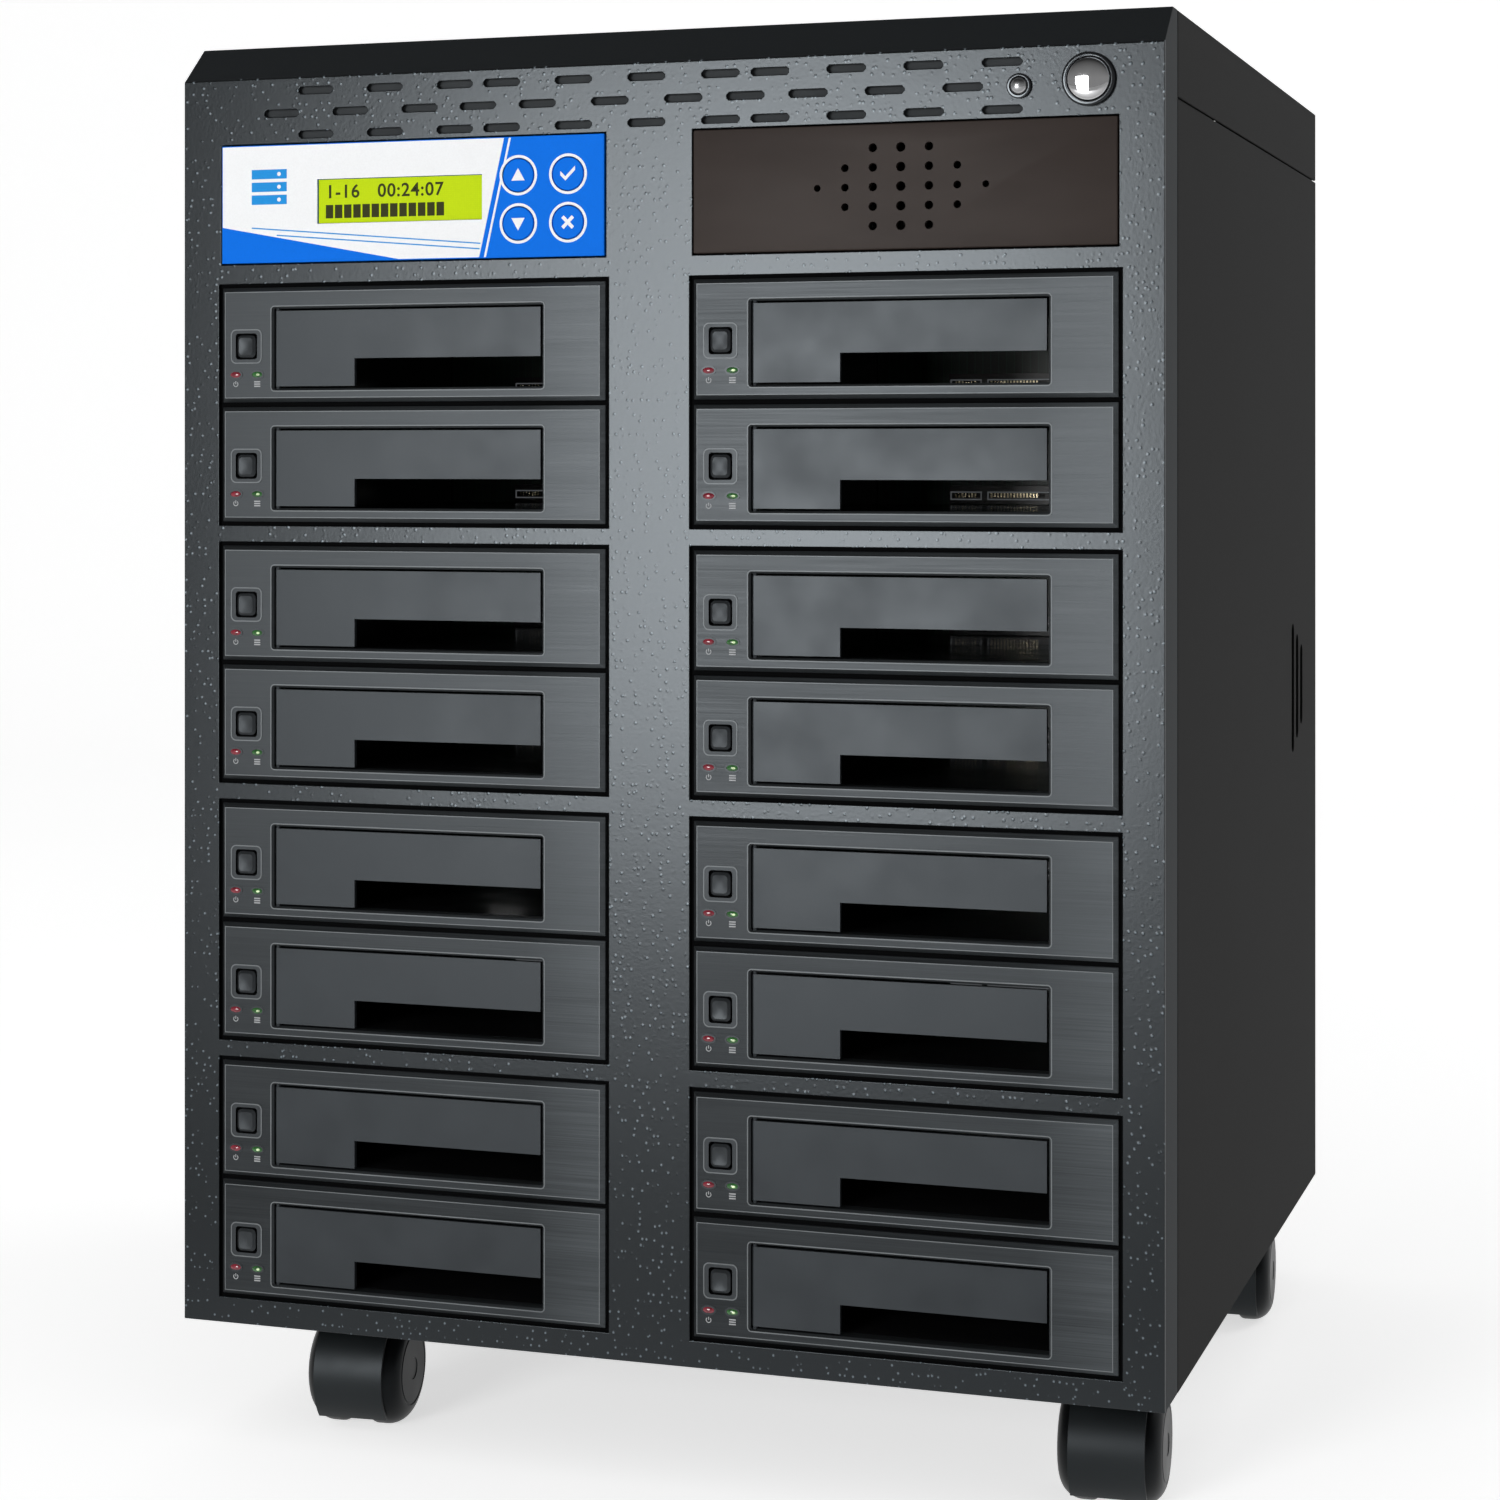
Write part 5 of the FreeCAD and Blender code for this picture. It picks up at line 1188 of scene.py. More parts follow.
shown_y = glass_y - GLASS
clock = figures("display_time", FIGURES, WINDOW[0] + MARGIN, WINDOW[1] + FIGURES_UP, shown_y, ink_dark)
settle(clock, CABINET, "board_green")
first_block = bar(*on_panel(WINDOW[0] + MARGIN, WINDOW[1] + BLOCK_LOW),
                  *on_panel(WINDOW[0] + MARGIN + BLOCK_WIDE, WINDOW[1] + BLOCK_HIGH))
blocks = print_sheet("progress_blocks", [first_block], shown_y, ink_dark, FILM)
repeated(blocks, ink_dark, (BLOCKS, (BLOCK_PITCH * MM, 0.0, 0.0)))
settle(blocks, CABINET, "board_green")
paint("control_board", board_green)
report(display_face, clock, blocks)

# %% [markdown]
# ## Vent plate
#
# The blank of the other top bay is perforated in a diamond whose holes shrink towards its ends. That
# rule is easy to state, so Geometry Nodes follow it: a grid of points, less those outside a diamond,
# a many-sided rod on each point that is smaller further out, and one Boolean that takes the rods out
# of the plate. Change the pitch, and the whole pattern follows.

# %% The perforating tree
COLUMNS, ROWS = 7, 5
REACH = 3.5                      # steps from the middle at which the diamond ends
HOLE_SIDES = 24


def make_vent_tree():
    """A plate less a diamond of rods."""
    tree, sockets = shape_tree("perforate in a diamond", "Plate", [
        ("Middle", "Vector"), ("Pitch across", "Float"), ("Pitch up", "Float"),
        ("Hole radius", "Float"), ("Shrink per step", "Float"), ("Depth", "Float")])
    work = Tree(tree)
    entry = work.add("NodeGroupInput")
    across, up = entry.outputs["Pitch across"], entry.outputs["Pitch up"]
    grid = work.add("GeometryNodeMeshGrid", {
        "Size X": work.math("MULTIPLY", across, COLUMNS - 1.0),
        "Size Y": work.math("MULTIPLY", up, ROWS - 1.0), "Vertices X": COLUMNS, "Vertices Y": ROWS})
    place = work.add("ShaderNodeSeparateXYZ", {0: work.add("GeometryNodeInputPosition")})
    steps_x = work.math("ABSOLUTE", work.math("DIVIDE", place.outputs[0], across))
    steps_y = work.math("ABSOLUTE", work.math("DIVIDE", place.outputs[1], up))
    outside = work.add("FunctionNodeCompare", {
        0: work.math("ADD", steps_x, steps_y), 1: REACH}, data_type="FLOAT", operation="GREATER_THAN")
    kept = work.add("GeometryNodeDeleteGeometry", {
        "Geometry": grid.outputs[0], "Selection": outside.outputs[0]})
    turned = work.add("GeometryNodeTransform", {
        "Geometry": kept.outputs[0], "Translation": entry.outputs["Middle"],
        "Rotation": (math.radians(90.0), 0.0, 0.0)})
    shrink = work.math("SUBTRACT", 1.0, work.math("MULTIPLY", entry.outputs["Shrink per step"], steps_x))
    held = work.add("GeometryNodeCaptureAttribute", {"Geometry": kept.outputs[0]})
    held.capture_items.new("FLOAT", "size")
    work.feed(held.inputs[1], shrink)
    work.feed(turned.inputs["Geometry"], held.outputs[0])
    rod = work.add("GeometryNodeMeshCylinder", {
        "Vertices": HOLE_SIDES, "Radius": entry.outputs["Hole radius"], "Depth": entry.outputs["Depth"]})
    rods = work.add("GeometryNodeInstanceOnPoints", {
        "Points": turned.outputs[0], "Instance": rod.outputs[0],
        "Rotation": (math.radians(90.0), 0.0, 0.0), "Scale": held.outputs[1]})
    cut = work.add("GeometryNodeMeshBoolean", {
        "Mesh 1": entry.outputs["Plate"],
        "Mesh 2": work.add("GeometryNodeRealizeInstances", {0: rods.outputs[0]}).outputs[0]},
        operation="DIFFERENCE", solver="EXACT")
    close_tree(work, entry, cut.outputs[0])
    return tree, sockets


vent_tree, vent_sockets = make_vent_tree()
print("vent tree:", len(vent_tree.nodes), "nodes")

# %% The plate as a tray, and its holes
VENT_WALL, VENT_EDGE = 2.5 * MM, 0.5 * MM
vent_low, vent_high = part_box("vent_plate")
vent_middle = middle("vent_plate")


def tray_mesh(name, low, high, wall):
    """A shallow tray, open at its back, with its face towards -Y."""
    shape = bmesh.new()
    corners = [(low.x, low.z), (high.x, low.z), (high.x, high.z), (low.x, high.z)]
    inner = [(low.x + wall, low.z + wall), (high.x - wall, low.z + wall),
             (high.x - wall, high.z - wall), (low.x + wall, high.z - wall)]
    rings = []
    for outline, y in ((corners, low.y), (corners, high.y), (inner, high.y), (inner, low.y + wall)):
        rings.append([shape.verts.new((x, y, z)) for x, z in outline])
    shape.faces.new(rings[0])
    for first, second in zip(rings, rings[1:]):
        for i in range(4):
            j = (i + 1) % 4
            shape.faces.new((first[i], second[i], second[j], first[j]))
    shape.faces.new(rings[-1])
    bmesh.ops.recalc_face_normals(shape, faces=shape.faces)
    return mesh_from(shape, name, smooth=False)


vent = link("vent_plate_dressed", tray_mesh("vent_plate_dressed", vent_low, vent_high, VENT_WALL), smoke)
rounding = vent.modifiers.new("rounding", "BEVEL")
rounding.width = VENT_EDGE
rounding.segments = 3
rounding.limit_method = "ANGLE"
bake(vent)
grow(vent, vent_tree, vent_sockets, {
    "Middle": (vent_middle.x, vent_low.y, vent_middle.z), "Pitch across": 9.8 * MM, "Pitch up": 6.6 * MM,
    "Hole radius": 1.65 * MM, "Shrink per step": 0.09, "Depth": 12.0 * MM, "Material": smoke})
wear(bake(vent), smoke)
vent.data.set_sharp_from_angle(angle=math.radians(SHARP))
report(settle(vent, CABINET, "smoked_plastic", "vent_plate"))

# %% [markdown]
# ## Power switch and lamp
#
# The switch is a chrome cap in a black ring. The lamp beside it is not lit, so its dome shows as plain
# silver, in a dark holder. All are turned shapes with round shoulders, and the cap and the lens end in
# the same kind of dome.

# %% Switch ring
BARREL_LENGTH, BARREL_RADIUS = 13.0 * MM, 8.2 * MM   # behind the front panel
CAP_PLAY = 0.2 * MM
SHOULDER, LIP_CUT = 0.8 * MM, 0.5 * MM
ring_low, ring_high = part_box("power_switch_body")
cap_low, cap_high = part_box("power_button")
switch_at = Vector((middle("power_button").x, panel_low.y, middle("power_button").z))
ring_radius = (ring_high.x - ring_low.x) / 2
cap_radius = (cap_high.x - cap_low.x) / 2
bore = cap_radius + CAP_PLAY
ring_proud = panel_low.y - ring_low.y
ring_profile = ([(-BARREL_LENGTH, bore), (-BARREL_LENGTH, BARREL_RADIUS), (0.0, BARREL_RADIUS),
                 (0.0, ring_radius)]
                + rounded((ring_proud - SHOULDER, ring_radius - SHOULDER), SHOULDER, 90.0, 0.0)
                + [(ring_proud, bore + LIP_CUT), (ring_proud - LIP_CUT, bore), (-BARREL_LENGTH, bore)])
switch_ring = link("power_switch_ring", lathe(
    "power_switch_ring", ring_profile, switch_at, FRONTWARD, steps=72), plastic_gloss_black)
weld(switch_ring)
report(settle(switch_ring, CABINET, "switch_black", "power_switch_body"))

# %% Chrome cap
CROWN_HEIGHT = 1.6 * MM
DOME_STEPS = 8


def dome(along, height, radius):
    """The end of a turned piece: from a flat back to the edge of a dome and up to its tip."""
    points = [(0.0, 0.0), (0.0, radius)]
    for i in range(DOME_STEPS):
        lean = 0.5 * math.pi * i / DOME_STEPS
        points.append((along + height * math.sin(lean), radius * math.cos(lean)))
    return points + [(along + height, 0.0)]


cap_profile = dome(cap_high.y - cap_low.y - CROWN_HEIGHT, CROWN_HEIGHT, cap_radius)
cap_back = Vector((switch_at.x, cap_high.y, switch_at.z))
cap = link("power_button_cap", lathe(
    "power_button_cap", cap_profile, cap_back, FRONTWARD, steps=72), chrome)
report(settle(cap, "power_button", "chrome_cap", "power_button"))

# %% Power lamp
LAMP_LEFT, LAMP_DROP = 23.6 * MM, 1.4 * MM           # from the switch's middle
HOLDER_EDGE, HOLDER_BORE, HOLDER_PROUD = 4.25 * MM, 3.0 * MM, 1.4 * MM
HOLDER_ROUND = 0.5 * MM
LENS_RADIUS, LENS_STEM, LENS_DOME = 3.1 * MM, 0.9 * MM, 2.4 * MM
lamp_at = switch_at - Vector((LAMP_LEFT, 0.0, LAMP_DROP))
holder_profile = ([(0.0, HOLDER_BORE), (0.0, HOLDER_EDGE)]
                  + rounded((HOLDER_PROUD - HOLDER_ROUND, HOLDER_EDGE - HOLDER_ROUND),
                            HOLDER_ROUND, 90.0, 0.0)
                  + [(HOLDER_PROUD, LENS_RADIUS + 0.2 * MM), (LENS_STEM, LENS_RADIUS), (0.0, HOLDER_BORE)])
holder = link("power_lamp_holder", lathe(
    "power_lamp_holder", holder_profile, lamp_at, FRONTWARD), plastic_gloss_black)
weld(holder)
settle(holder, CABINET, "lens_clear")
lens_silver = polished_metal("lens_silver", (0.60, 0.61, 0.62), 0.20)
lens = link("power_lamp_lens", lathe(
    "power_lamp_lens", dome(LENS_STEM, LENS_DOME, LENS_RADIUS), lamp_at, FRONTWARD, steps=48), lens_silver)
report(holder, settle(lens, CABINET, "lens_clear"))

# %% [markdown]
# ## Casters
#
# A twin-wheel caster has two dished wheels on one axle and a fender over both. The wheels are turned
# from a profile with a round tread shoulder, a shallow step on the outer face and a small hub cap. The
# axis of each pair comes from its joint in the frame. The fender keeps its CAD shape, softened.

# %% Wheels and hoods
WHEEL_RADIUS = 20.0              # these are in millimetres
INNER, OUTER = 4.5, 18.0
AXLE_HOLE = 3.0
ROUND_IN, ROUND_OUT = 2.5, 8.0
HOOD_EDGE = 0.35 * MM
spins = {joint["child"]: joint for joint in frame["joints"] if joint["name"].startswith("wheel_spin")}


def wheel_profile():
    """From the inner face round the tread to a groove, a step and the hub cap."""
    points = [(INNER, AXLE_HOLE), (INNER, WHEEL_RADIUS - ROUND_IN - 0.5)]
    points += rounded((INNER + ROUND_IN, WHEEL_RADIUS - ROUND_IN), ROUND_IN, 180.0, 90.0)
    points += rounded((OUTER - ROUND_OUT, WHEEL_RADIUS - ROUND_OUT), ROUND_OUT, 90.0, 15.0, 12)
    points += [(OUTER - 0.15, 13.2), (OUTER - 0.4, 12.9), (OUTER - 0.4, 12.5), (OUTER - 0.1, 12.2),
               (OUTER, 8.0), (OUTER, 4.0), (OUTER - 0.25, 3.7), (OUTER - 0.25, 0.0)]
    return [(along * MM, radius * MM) for along, radius in points]


for body, joint in spins.items():
    corner = body.replace("wheels_", "")
    centre = Vector(joint["pos_m"])
    axis = Vector(joint["axis"])
    pair = bmesh.new()
    for way in (1.0, -1.0):
        half = lathe(f"wheel_half_{corner}", wheel_profile(), centre, axis * way, steps=72)
        pair.from_mesh(half)
        bpy.data.meshes.remove(half)
    name = f"caster_wheels_{corner}_turned"
    wheels = link(name, mesh_from(pair, name, sharp=SHARP), plastic_wheel)
    settle(wheels, body, "wheel_plastic", f"caster_wheels_{corner}")
    report(wheels, soften(f"caster_hood_{corner}", HOOD_EDGE, plastic_caster))

# %% [markdown]
# ## Inside and behind
#
# The cages, boards, chassis, supply and fan keep their CAD shapes and get their finishes. In each bay
# the drive socket gets a pale rim round its two mouths, which glows a little as a painted highlight,
# and a row of small gilt contacts in each, which catch what light comes in past the door.

# %% Finishes of the inner pieces
SOCKET_DEPTH = 8.0 * MM
back_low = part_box("rack_backplanes")[0]


def socket_and_board():
    """Black sockets in front of a green board: the two are told apart by their depth."""
    material, tree, shader, place = new_material("socket_and_board")
    depth = tree.add("ShaderNodeSeparateXYZ", {0: place}).outputs[1]
    edge = back_low.y + SOCKET_DEPTH
    behind = tree.spread(depth, edge - 0.05 * MM, edge + 0.05 * MM, 0.0, 1.0)
    tree.feed(shader.inputs["Base Color"], tree.add("ShaderNodeMixRGB", {
        0: behind, 1: (0.010, 0.010, 0.011, 1.0), 2: copper_tracks(tree, place)}))
    tree.feed(shader.inputs["Normal"], bump(tree, noise(tree, place, 900.0), 0.1, 0.05 * MM))
    set_plain(shader, Roughness=0.3)
    return material


for node, finish in (("chassis", coat_rear), ("rack_cages", cage_dark), ("power_supply", zinc),
                     ("rack_backplanes", socket_and_board()), ("rear_fan", plastic_fan)):
    paint(node, finish)
    print(node, "wears", finish.name)

# %% Painted highlights round the sockets' mouths
SOCKET_WIDTH, SOCKET_HEIGHT = 42.0 * MM, 7.0 * MM
MOUTH_LIP = 0.45 * MM
pocket_middle = (door_low.x + door_high.x) / 2
mouth_low = pocket_low[1] + SOCKET_HEIGHT / 3
mouth_high = pocket_low[1] + 2 * SOCKET_HEIGHT / 3
# painted highlight: the rims are pale and glow a little, for the light that comes in past the door
socket_edge = moulded_plastic("socket_edge", (0.16, 0.165, 0.17), 0.3)
set_plain(socket_edge.node_tree.nodes["Principled BSDF"],
          Emission_Color=(0.16, 0.17, 0.18, 1.0), Emission_Strength=0.35)
mouths = []
for left, right in ((-SOCKET_WIDTH / 2 + SOCKET_HEIGHT / 6, -SOCKET_WIDTH / 5),
                    (-SOCKET_WIDTH / 8, SOCKET_WIDTH / 2 - SOCKET_HEIGHT / 6)):
    left, right = pocket_middle + left, pocket_middle + right
    mouths.append(bar(left - MOUTH_LIP, mouth_low - MOUTH_LIP, right + MOUTH_LIP, mouth_high + MOUTH_LIP))
    mouths.append(bar(left, mouth_low, right, mouth_high))
socket_rims = print_sheet("socket_rims", mouths, back_low.y, socket_edge, 0.15 * MM)
in_every_bay(socket_rims, socket_edge)
report(settle(socket_rims, CABINET, "board_green"))

# %% Socket contacts in every bay
CONTACT_PITCH = 1.27 * MM
CONTACT = (0.6 * MM, 0.5 * MM, 1.6 * MM)
CONTACT_PROUD = 0.2 * MM
CONTACT_UP = 5.7 * MM            # from the door's lower end


def contact_row(name, first_x, number):
    """A row of small spring contacts in a socket's mouth."""
    shape = bmesh.new()
    bmesh.ops.create_cube(shape, size=1.0)
    bmesh.ops.scale(shape, verts=shape.verts, vec=CONTACT)
    bmesh.ops.translate(shape, verts=shape.verts,
                        vec=(first_x, back_low.y - CONTACT_PROUD, door_low.z + CONTACT_UP))
    row = link(name, mesh_from(shape, name, smooth=False))
    repeated(row, contact_gold, (number, (CONTACT_PITCH, 0.0, 0.0)))
    in_every_bay(row, contact_gold)
    return settle(row, CABINET, "board_green")


for word, aside, number in (("signal", -18.0 * MM, 7), ("power", -4.0 * MM, 15)):
    report(contact_row(f"socket_contacts_{word}", pocket_middle + aside, number))

# %% [markdown]
# ## Fan blades
#
# A fan's blade is swept, twisted and cambered, while a model for construction has a flat plate. One
# blade is a small grid bent by three plain rules. A tree of nodes turns it round the shaft as often as
# the fan has blades, and a Solidify modifier gives all of them their thickness at once.

# %% One blade, turned round the shaft
rotor_low, rotor_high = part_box("fan_rotor")
fan_joint = next(joint for joint in frame["joints"] if joint["name"] == "fan_spin")
shaft = Vector(fan_joint["pos_m"])
ROTOR_HUB = 19.0 * MM
HUB_ROUND = 1.5 * MM
BLADE_TIP = 55.0 * MM
BLADE_WALL = 1.4 * MM
BLADES = 7
SWEEP, CHORD_TURN = 16.0, 40.0   # degrees
PITCH_DEPTH, CAMBER = 13.0 * MM, 1.3 * MM


def blade_mesh(name):
    """A swept and cambered blade about the Y axis, from inside the hub to the tip."""
    along, across = 9, 10
    middle_y = (rotor_low.y + rotor_high.y) / 2
    shape = bmesh.new()
    rows = []
    for i in range(along + 1):
        out = i / along
        radius = ROTOR_HUB - HUB_ROUND + (BLADE_TIP - ROTOR_HUB + HUB_ROUND) * out
        row = []
        for j in range(across + 1):
            chord = j / across - 0.5
            turn = math.radians(CHORD_TURN * chord + SWEEP * out * out)
            y = middle_y + PITCH_DEPTH * chord * (1.0 - 0.2 * out) + CAMBER * math.cos(math.pi * chord)
            row.append(shape.verts.new((radius * math.cos(turn), y, radius * math.sin(turn))))
        rows.append(row)
    for first, second in zip(rows, rows[1:]):
        for j in range(across):
            shape.faces.new((first[j], first[j + 1], second[j + 1], second[j]))
    return mesh_from(shape, name)


def make_blade_tree():
    """The blade as often as it is asked for, each turned on by its share of a turn."""
    tree, sockets = shape_tree("blades round a shaft", "Blade", [("Blades", "Int"), ("Shaft", "Vector")])
    work = Tree(tree)
    entry = work.add("NodeGroupInput")
    points = work.add("GeometryNodeMeshLine", {
        "Count": entry.outputs["Blades"], "Start Location": entry.outputs["Shaft"],
        "Offset": (0.0, 0.0, 0.0)})
    turn = work.math("MULTIPLY", work.add("GeometryNodeInputIndex"),
                     work.math("DIVIDE", 2.0 * math.pi, entry.outputs["Blades"]))
    blades = work.add("GeometryNodeInstanceOnPoints", {
        "Points": points.outputs[0], "Instance": entry.outputs["Blade"],
        "Rotation": work.add("ShaderNodeCombineXYZ", {1: turn})})
    close_tree(work, entry, blades.outputs[0])
    return tree, sockets


blades = link("fan_blades", blade_mesh("fan_blades"), plastic_fan)
grow(blades, *make_blade_tree(), {
    "Blades": BLADES, "Shaft": (shaft.x, 0.0, shaft.z), "Material": plastic_fan})
wall = blades.modifiers.new("wall", "SOLIDIFY")
wall.thickness = BLADE_WALL
wall.offset = 0.0
wear(bake(blades), plastic_fan)
report(settle(blades, "fan_rotor", "fan_plastic", "fan_rotor"))

# %% The hub
hub_length = rotor_high.y - rotor_low.y
hub_profile = ([(0.0, 0.0), (0.0, ROTOR_HUB - HUB_ROUND)]
               + rounded((HUB_ROUND, ROTOR_HUB - HUB_ROUND), HUB_ROUND, 180.0, 90.0)
               + rounded((hub_length - HUB_ROUND, ROTOR_HUB - HUB_ROUND), HUB_ROUND, 90.0, 0.0)
               + [(hub_length, 0.0)])
hub_start = Vector((shaft.x, rotor_low.y, shaft.z))
hub = link("fan_rotor_hub", lathe("fan_rotor_hub", hub_profile, hub_start, REARWARD), plastic_fan)
weld(hub)
report(settle(hub, "fan_rotor", "fan_plastic"))

# %% Black screen behind the fan, as painted shade
SCREEN_INSET, SCREEN_ROUND = 1.5 * MM, 4.0 * MM
fan_low, fan_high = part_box("rear_fan")
# painted shade: a black sheet on the fan's inner side, where only shade shows
painted_shade_screen = print_sheet("fan_dust_screen", [rounded_bar(
    fan_low.x + SCREEN_INSET, fan_low.z + SCREEN_INSET, fan_high.x - SCREEN_INSET, fan_high.z - SCREEN_INSET,
    SCREEN_ROUND)], fan_low.y - 0.2 * MM, foam_black, 1.2 * MM)
report(settle(painted_shade_screen, CABINET, "fan_plastic"))

# %% [markdown]
# ## Screws
#
# The rear is held by low pan-head screws with a cross recess. One screw is turned and its cross is cut
# by a Boolean, and the repeating tree sets it at the fan's corners, at the supply's corners and up the
# two edges of the rear wall. Only the heads stand out of the sheet, so the shanks are left out.

# %% One screw
HEAD_HEIGHT, HEAD_SUNK = 0.22, 0.2               # these are shares of the head's radius
CROSS = ((1.1, 0.9, 0.26), (0.26, 0.9, 1.1))


def screw_head(name, centre, radius):
    """A pan head with a cross recess, facing +Y."""
    height = HEAD_HEIGHT * radius
    profile = [(-HEAD_SUNK * radius, 0.0), (-HEAD_SUNK * radius, radius)]
    for i in range(7):
        lean = 0.5 * math.pi * i / 6
        profile.append((height * math.sin(lean), radius * (0.62 + 0.38 * math.cos(lean))))
    profile += [(height, 0.0)]
    head = link(name, lathe(name, profile, centre, REARWARD, steps=24))
    cutter = bmesh.new()
    for size in CROSS:
        made = bmesh.ops.create_cube(cutter, size=1.0)["verts"]
        bmesh.ops.scale(cutter, verts=made, vec=[radius * part for part in size])
        bmesh.ops.translate(cutter, verts=made, vec=centre + Vector((0.0, height + 0.1 * radius, 0.0)))
    tool = link("cross_tool", mesh_from(cutter, "cross", smooth=False))
    recess = head.modifiers.new("recess", "BOOLEAN")
    recess.object = tool
    recess.solver = "EXACT"
    recess.use_self = True
    bake(head)
    bpy.data.objects.remove(tool)
    return head


def screws(name, low, high, inset, radius, rows=2):
    """Screws in two columns along the edges of a box's rear, some rows high."""
    across, up = (high - low).x - 2.0 * inset[0], (high - low).z - 2.0 * inset[1]
    head = screw_head(name, Vector((low.x + inset[0], rear_face, low.z + inset[1])), radius)
    repeated(head, screw_black, (2, (across, 0.0, 0.0)), (rows, (0.0, 0.0, up / (rows - 1))))
    return settle(head, CABINET, "zinc_steel")


# %% Screws of the fan, the supply and the rear wall
SMALL_SCREW, SCREW = 2.4 * MM, 3.0 * MM
FAN_HOLES = 105.0 * MM
fan_inset = (fan_high.x - fan_low.x - FAN_HOLES) / 2
report(screws("fan_screws", fan_low, fan_high, (fan_inset, fan_inset), SCREW),
       screws("supply_screws", *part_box("power_supply"), (2.8 * MM, 2.8 * MM), SMALL_SCREW),
       screws("wall_screws", *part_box("chassis"), (9.0 * MM, 18.0 * MM), SCREW, 4))

# %% [markdown]
# ## Floor and light
#
# The object stands on a plain pale floor that curves up into a backdrop. A tall soft box stands to the
# left of the camera: the front face is a dull mirror, and this is the light that it shows as a broad
# band down its middle. The world fills the shadows. Seen directly it is white. In a reflection, or
# through glass, it is white behind the object, and dim in front and overhead, like the room round a
# light table: that gives polished metal something to show.

# %% Floor
FLOOR_NEAR, FLOOR_FAR = -4.5, 3.2    # metres in front of and behind the origin
FLOOR_RISE, FLOOR_TURN, FLOOR_WIDTH = 3.0, 1.2, 7.0
FADE = 0.25                          # metres in front of the object over which gloss loses the floor
FLOOR_LIFT = 0.62                    # light of its own, where the floor is seen


def backdrop():
    """A floor that turns up behind the object in a wide curve."""
    turn = (FLOOR_FAR - FLOOR_TURN, FLOOR_TURN)
    outline = [(FLOOR_NEAR, 0.0)] + arc(turn, FLOOR_TURN, -90.0, 0.0, 12) + [(FLOOR_FAR, FLOOR_RISE)]
    shape = bmesh.new()
    last = None
    for y, z in outline:
        pair = [shape.verts.new((x, y, z)) for x in (-FLOOR_WIDTH / 2, FLOOR_WIDTH / 2)]
        if last:
            shape.faces.new((last[0], last[1], pair[1], pair[0]))
        last = pair
    bmesh.ops.recalc_face_normals(shape, faces=shape.faces)
    return mesh_from(shape, "floor")


def floor_material():
    """Matt white that shows as bright as the backdrop, and still takes the object's shadow."""
    material, tree, shader, place = new_material("floor_white")
    set_plain(shader, Roughness=0.9, Specular_IOR_Level=0.1)
    tone = noise(tree, place, 1.5, 2.0)
    tree.feed(shader.inputs["Base Color"], tree.ramp(tone, [
        (0.3, (0.84, 0.84, 0.84)), (0.7, (0.86, 0.86, 0.86))]))
    rays = tree.add("ShaderNodeLightPath")
    # gloss shows the white floor beside and behind the object, and the dim room in front of it
    depth = tree.add("ShaderNodeSeparateXYZ", {0: place}).outputs[1]
    beside = tree.spread(depth, panel_low.y - FADE, panel_low.y, 0.0, 1.0)
    mirrored = tree.math("MULTIPLY", rays.outputs["Is Glossy Ray"], beside)
    seen = tree.math("MAXIMUM", rays.outputs["Is Camera Ray"], mirrored)
    seen = tree.math("MAXIMUM", seen, rays.outputs["Is Transmission Ray"])
    lift = tree.add("ShaderNodeEmission", {
        "Color": (1.0, 1.0, 1.0, 1.0), "Strength": tree.math("MULTIPLY", seen, FLOOR_LIFT)})
    both = tree.add("ShaderNodeAddShader", {0: shader.outputs[0], 1: lift.outputs[0]})
    tree.feed(material.node_tree.nodes["Material Output"].inputs["Surface"], both)
    return material


floor = link("floor", backdrop(), floor_material())
report(floor)

# %% Lamps
def soft_box(name, place, target, width, height, watts):
    """A rectangular lamp that faces a target."""
    lamp = bpy.data.lights.new(name, "AREA")
    lamp.shape = "RECTANGLE"
    lamp.size = width
    lamp.size_y = height
    lamp.energy = watts
    stand = bpy.data.objects.new(name, lamp)
    bpy.context.scene.collection.objects.link(stand)
    stand.location = place
    stand.rotation_euler = (Vector(target) - Vector(place)).to_track_quat("-Z", "Y").to_euler()
    return stand


key_light = soft_box("key_light", place=(-0.55, -2.1, 0.40), target=(0.0, -0.18, 0.3),
                     width=0.66, height=0.84, watts=22.5)
rim_light = soft_box("rim_light", place=(1.9, 1.2, 1.9), target=(0.1, 0.0, 0.3),
                     width=1.2, height=1.2, watts=8.0)
print("lamps:", key_light.data.energy, "and", rim_light.data.energy, "watts")

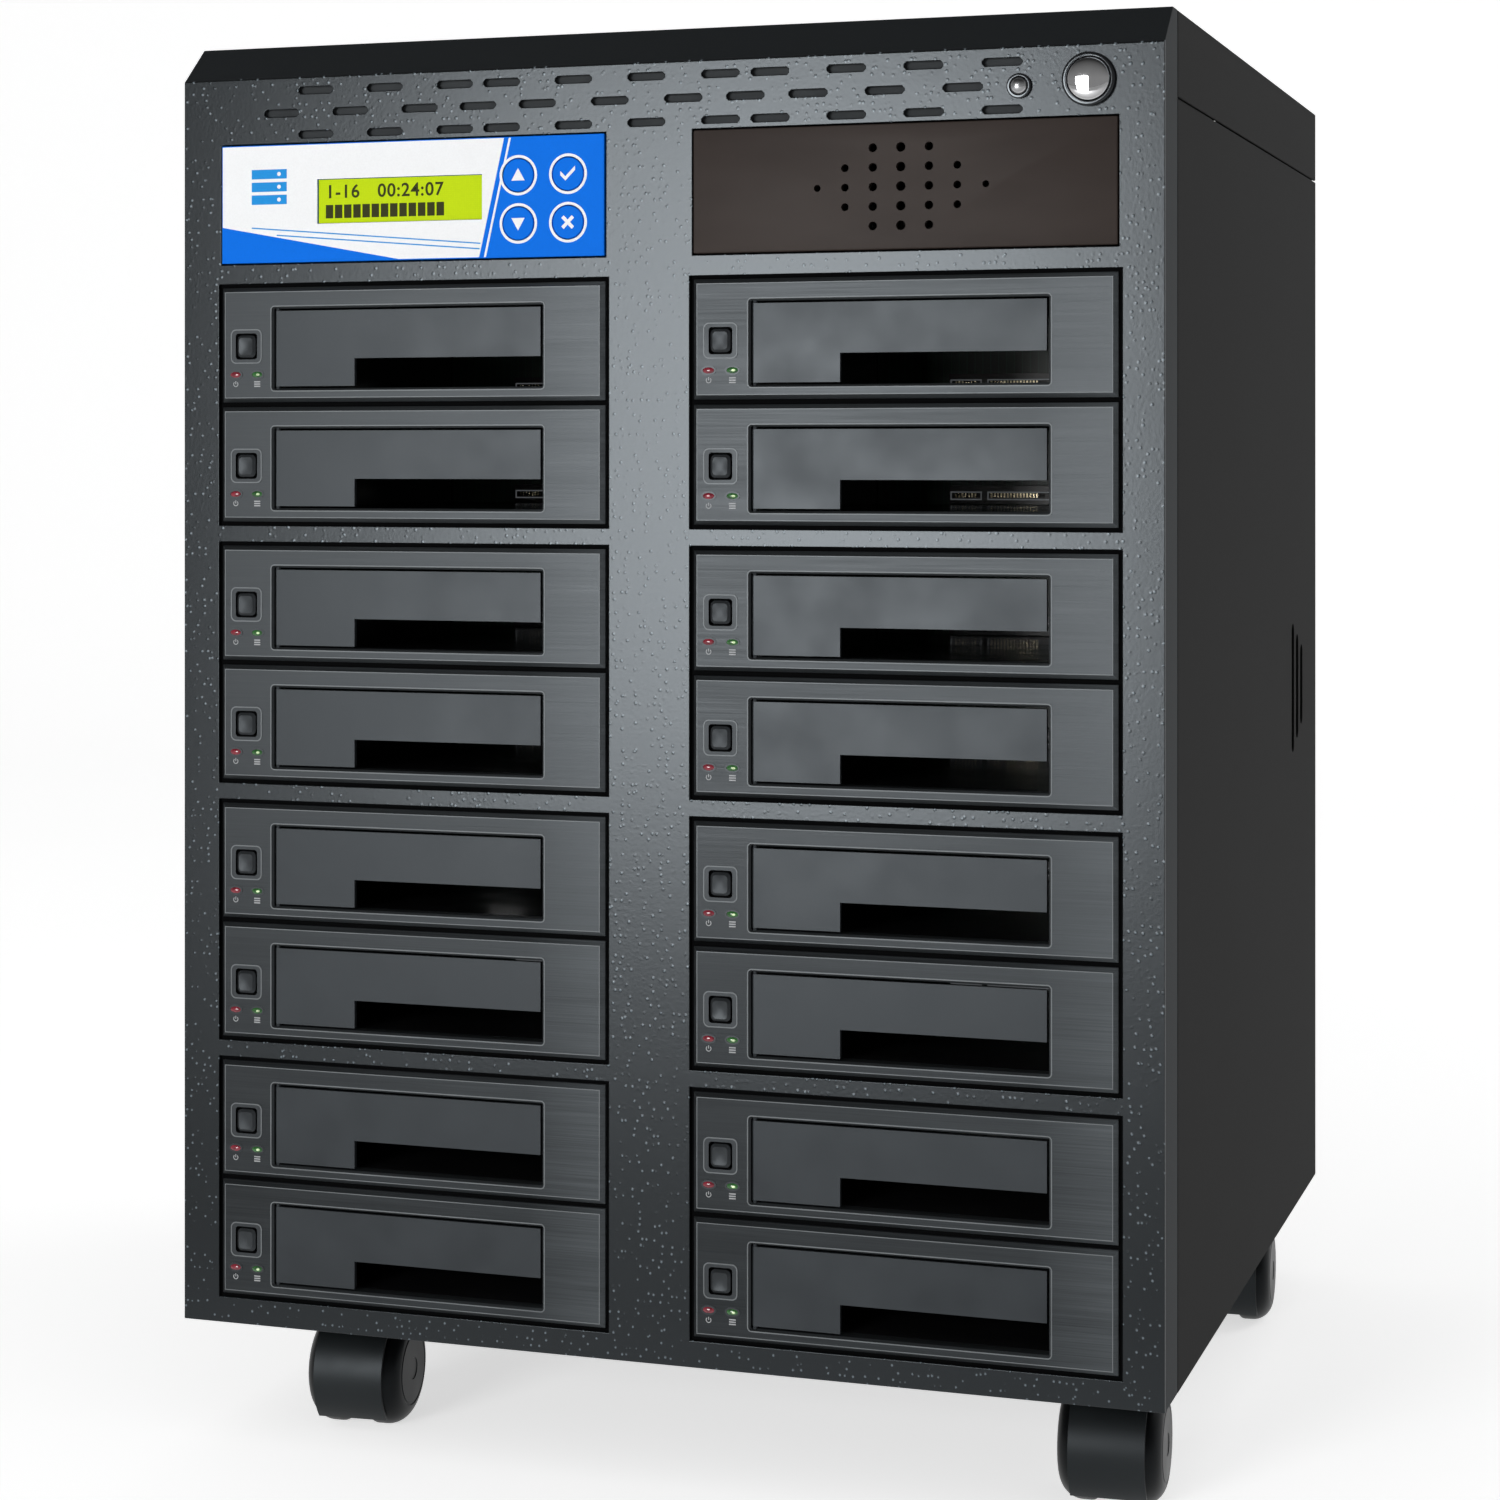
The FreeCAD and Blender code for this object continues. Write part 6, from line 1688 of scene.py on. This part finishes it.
# %% World
WHITE = (1.0, 1.0, 1.0, 1.0)
FILL = 0.38
world = bpy.data.worlds.new("studio")
bpy.context.scene.world = world
world.use_nodes = True
sky = Tree(world.node_tree)
plain = world.node_tree.nodes["Background"]
sky.feed(plain.inputs["Color"], WHITE)
sky.feed(plain.inputs["Strength"], FILL)
rays = sky.add("ShaderNodeLightPath")
way = sky.add("ShaderNodeSeparateXYZ", {0: sky.add("ShaderNodeTexCoord").outputs["Generated"]})
# a mirrored ray finds the room dim towards the front, and dim again overhead
room = sky.spread(way.outputs[1], -0.15, 0.15, 0.25, 1.0)
ceiling = sky.spread(way.outputs[2], 0.12, 0.75, 1.0, 0.12)
mirrored = sky.add("ShaderNodeBackground", {
    "Color": WHITE, "Strength": sky.math("MULTIPLY", room, ceiling)})
white = sky.add("ShaderNodeBackground", {"Color": WHITE, "Strength": 1.0})
in_gloss_or_glass = sky.math(
    "MAXIMUM", rays.outputs["Is Glossy Ray"], rays.outputs["Is Transmission Ray"])
inner = sky.add("ShaderNodeMixShader", {
    0: in_gloss_or_glass, 1: plain.outputs[0], 2: mirrored.outputs[0]})
outer = sky.add("ShaderNodeMixShader", {
    0: rays.outputs["Is Camera Ray"], 1: inner.outputs[0], 2: white.outputs[0]})
sky.feed(world.node_tree.nodes["World Output"].inputs["Surface"], outer)
print("world:", len(world.node_tree.nodes), "nodes, fill", FILL)

# %% [markdown]
# ## Camera
#
# The camera is level and stands a little to the right, so that the upright edges stay upright, and a
# vertical shift of the lens brings the top into view instead of a tilt.

# %% Camera
camera = bpy.data.objects.new("camera", bpy.data.cameras.new("camera"))
bpy.context.scene.collection.objects.link(camera)
camera.data.sensor_width = 36.0
camera.data.lens = 74.13
camera.data.shift_y = -0.195
camera.data.clip_start = 0.05
camera.location = (0.3668, panel_low.y - 1.0044, 0.356)
camera.rotation_euler = (math.radians(90.0), 0.0, math.radians(18.187))
bpy.context.scene.camera = camera
bpy.context.scene.view_settings.view_transform = "Standard"
print("camera:", camera.data.lens, "mm lens, at", [round(part, 3) for part in camera.location])
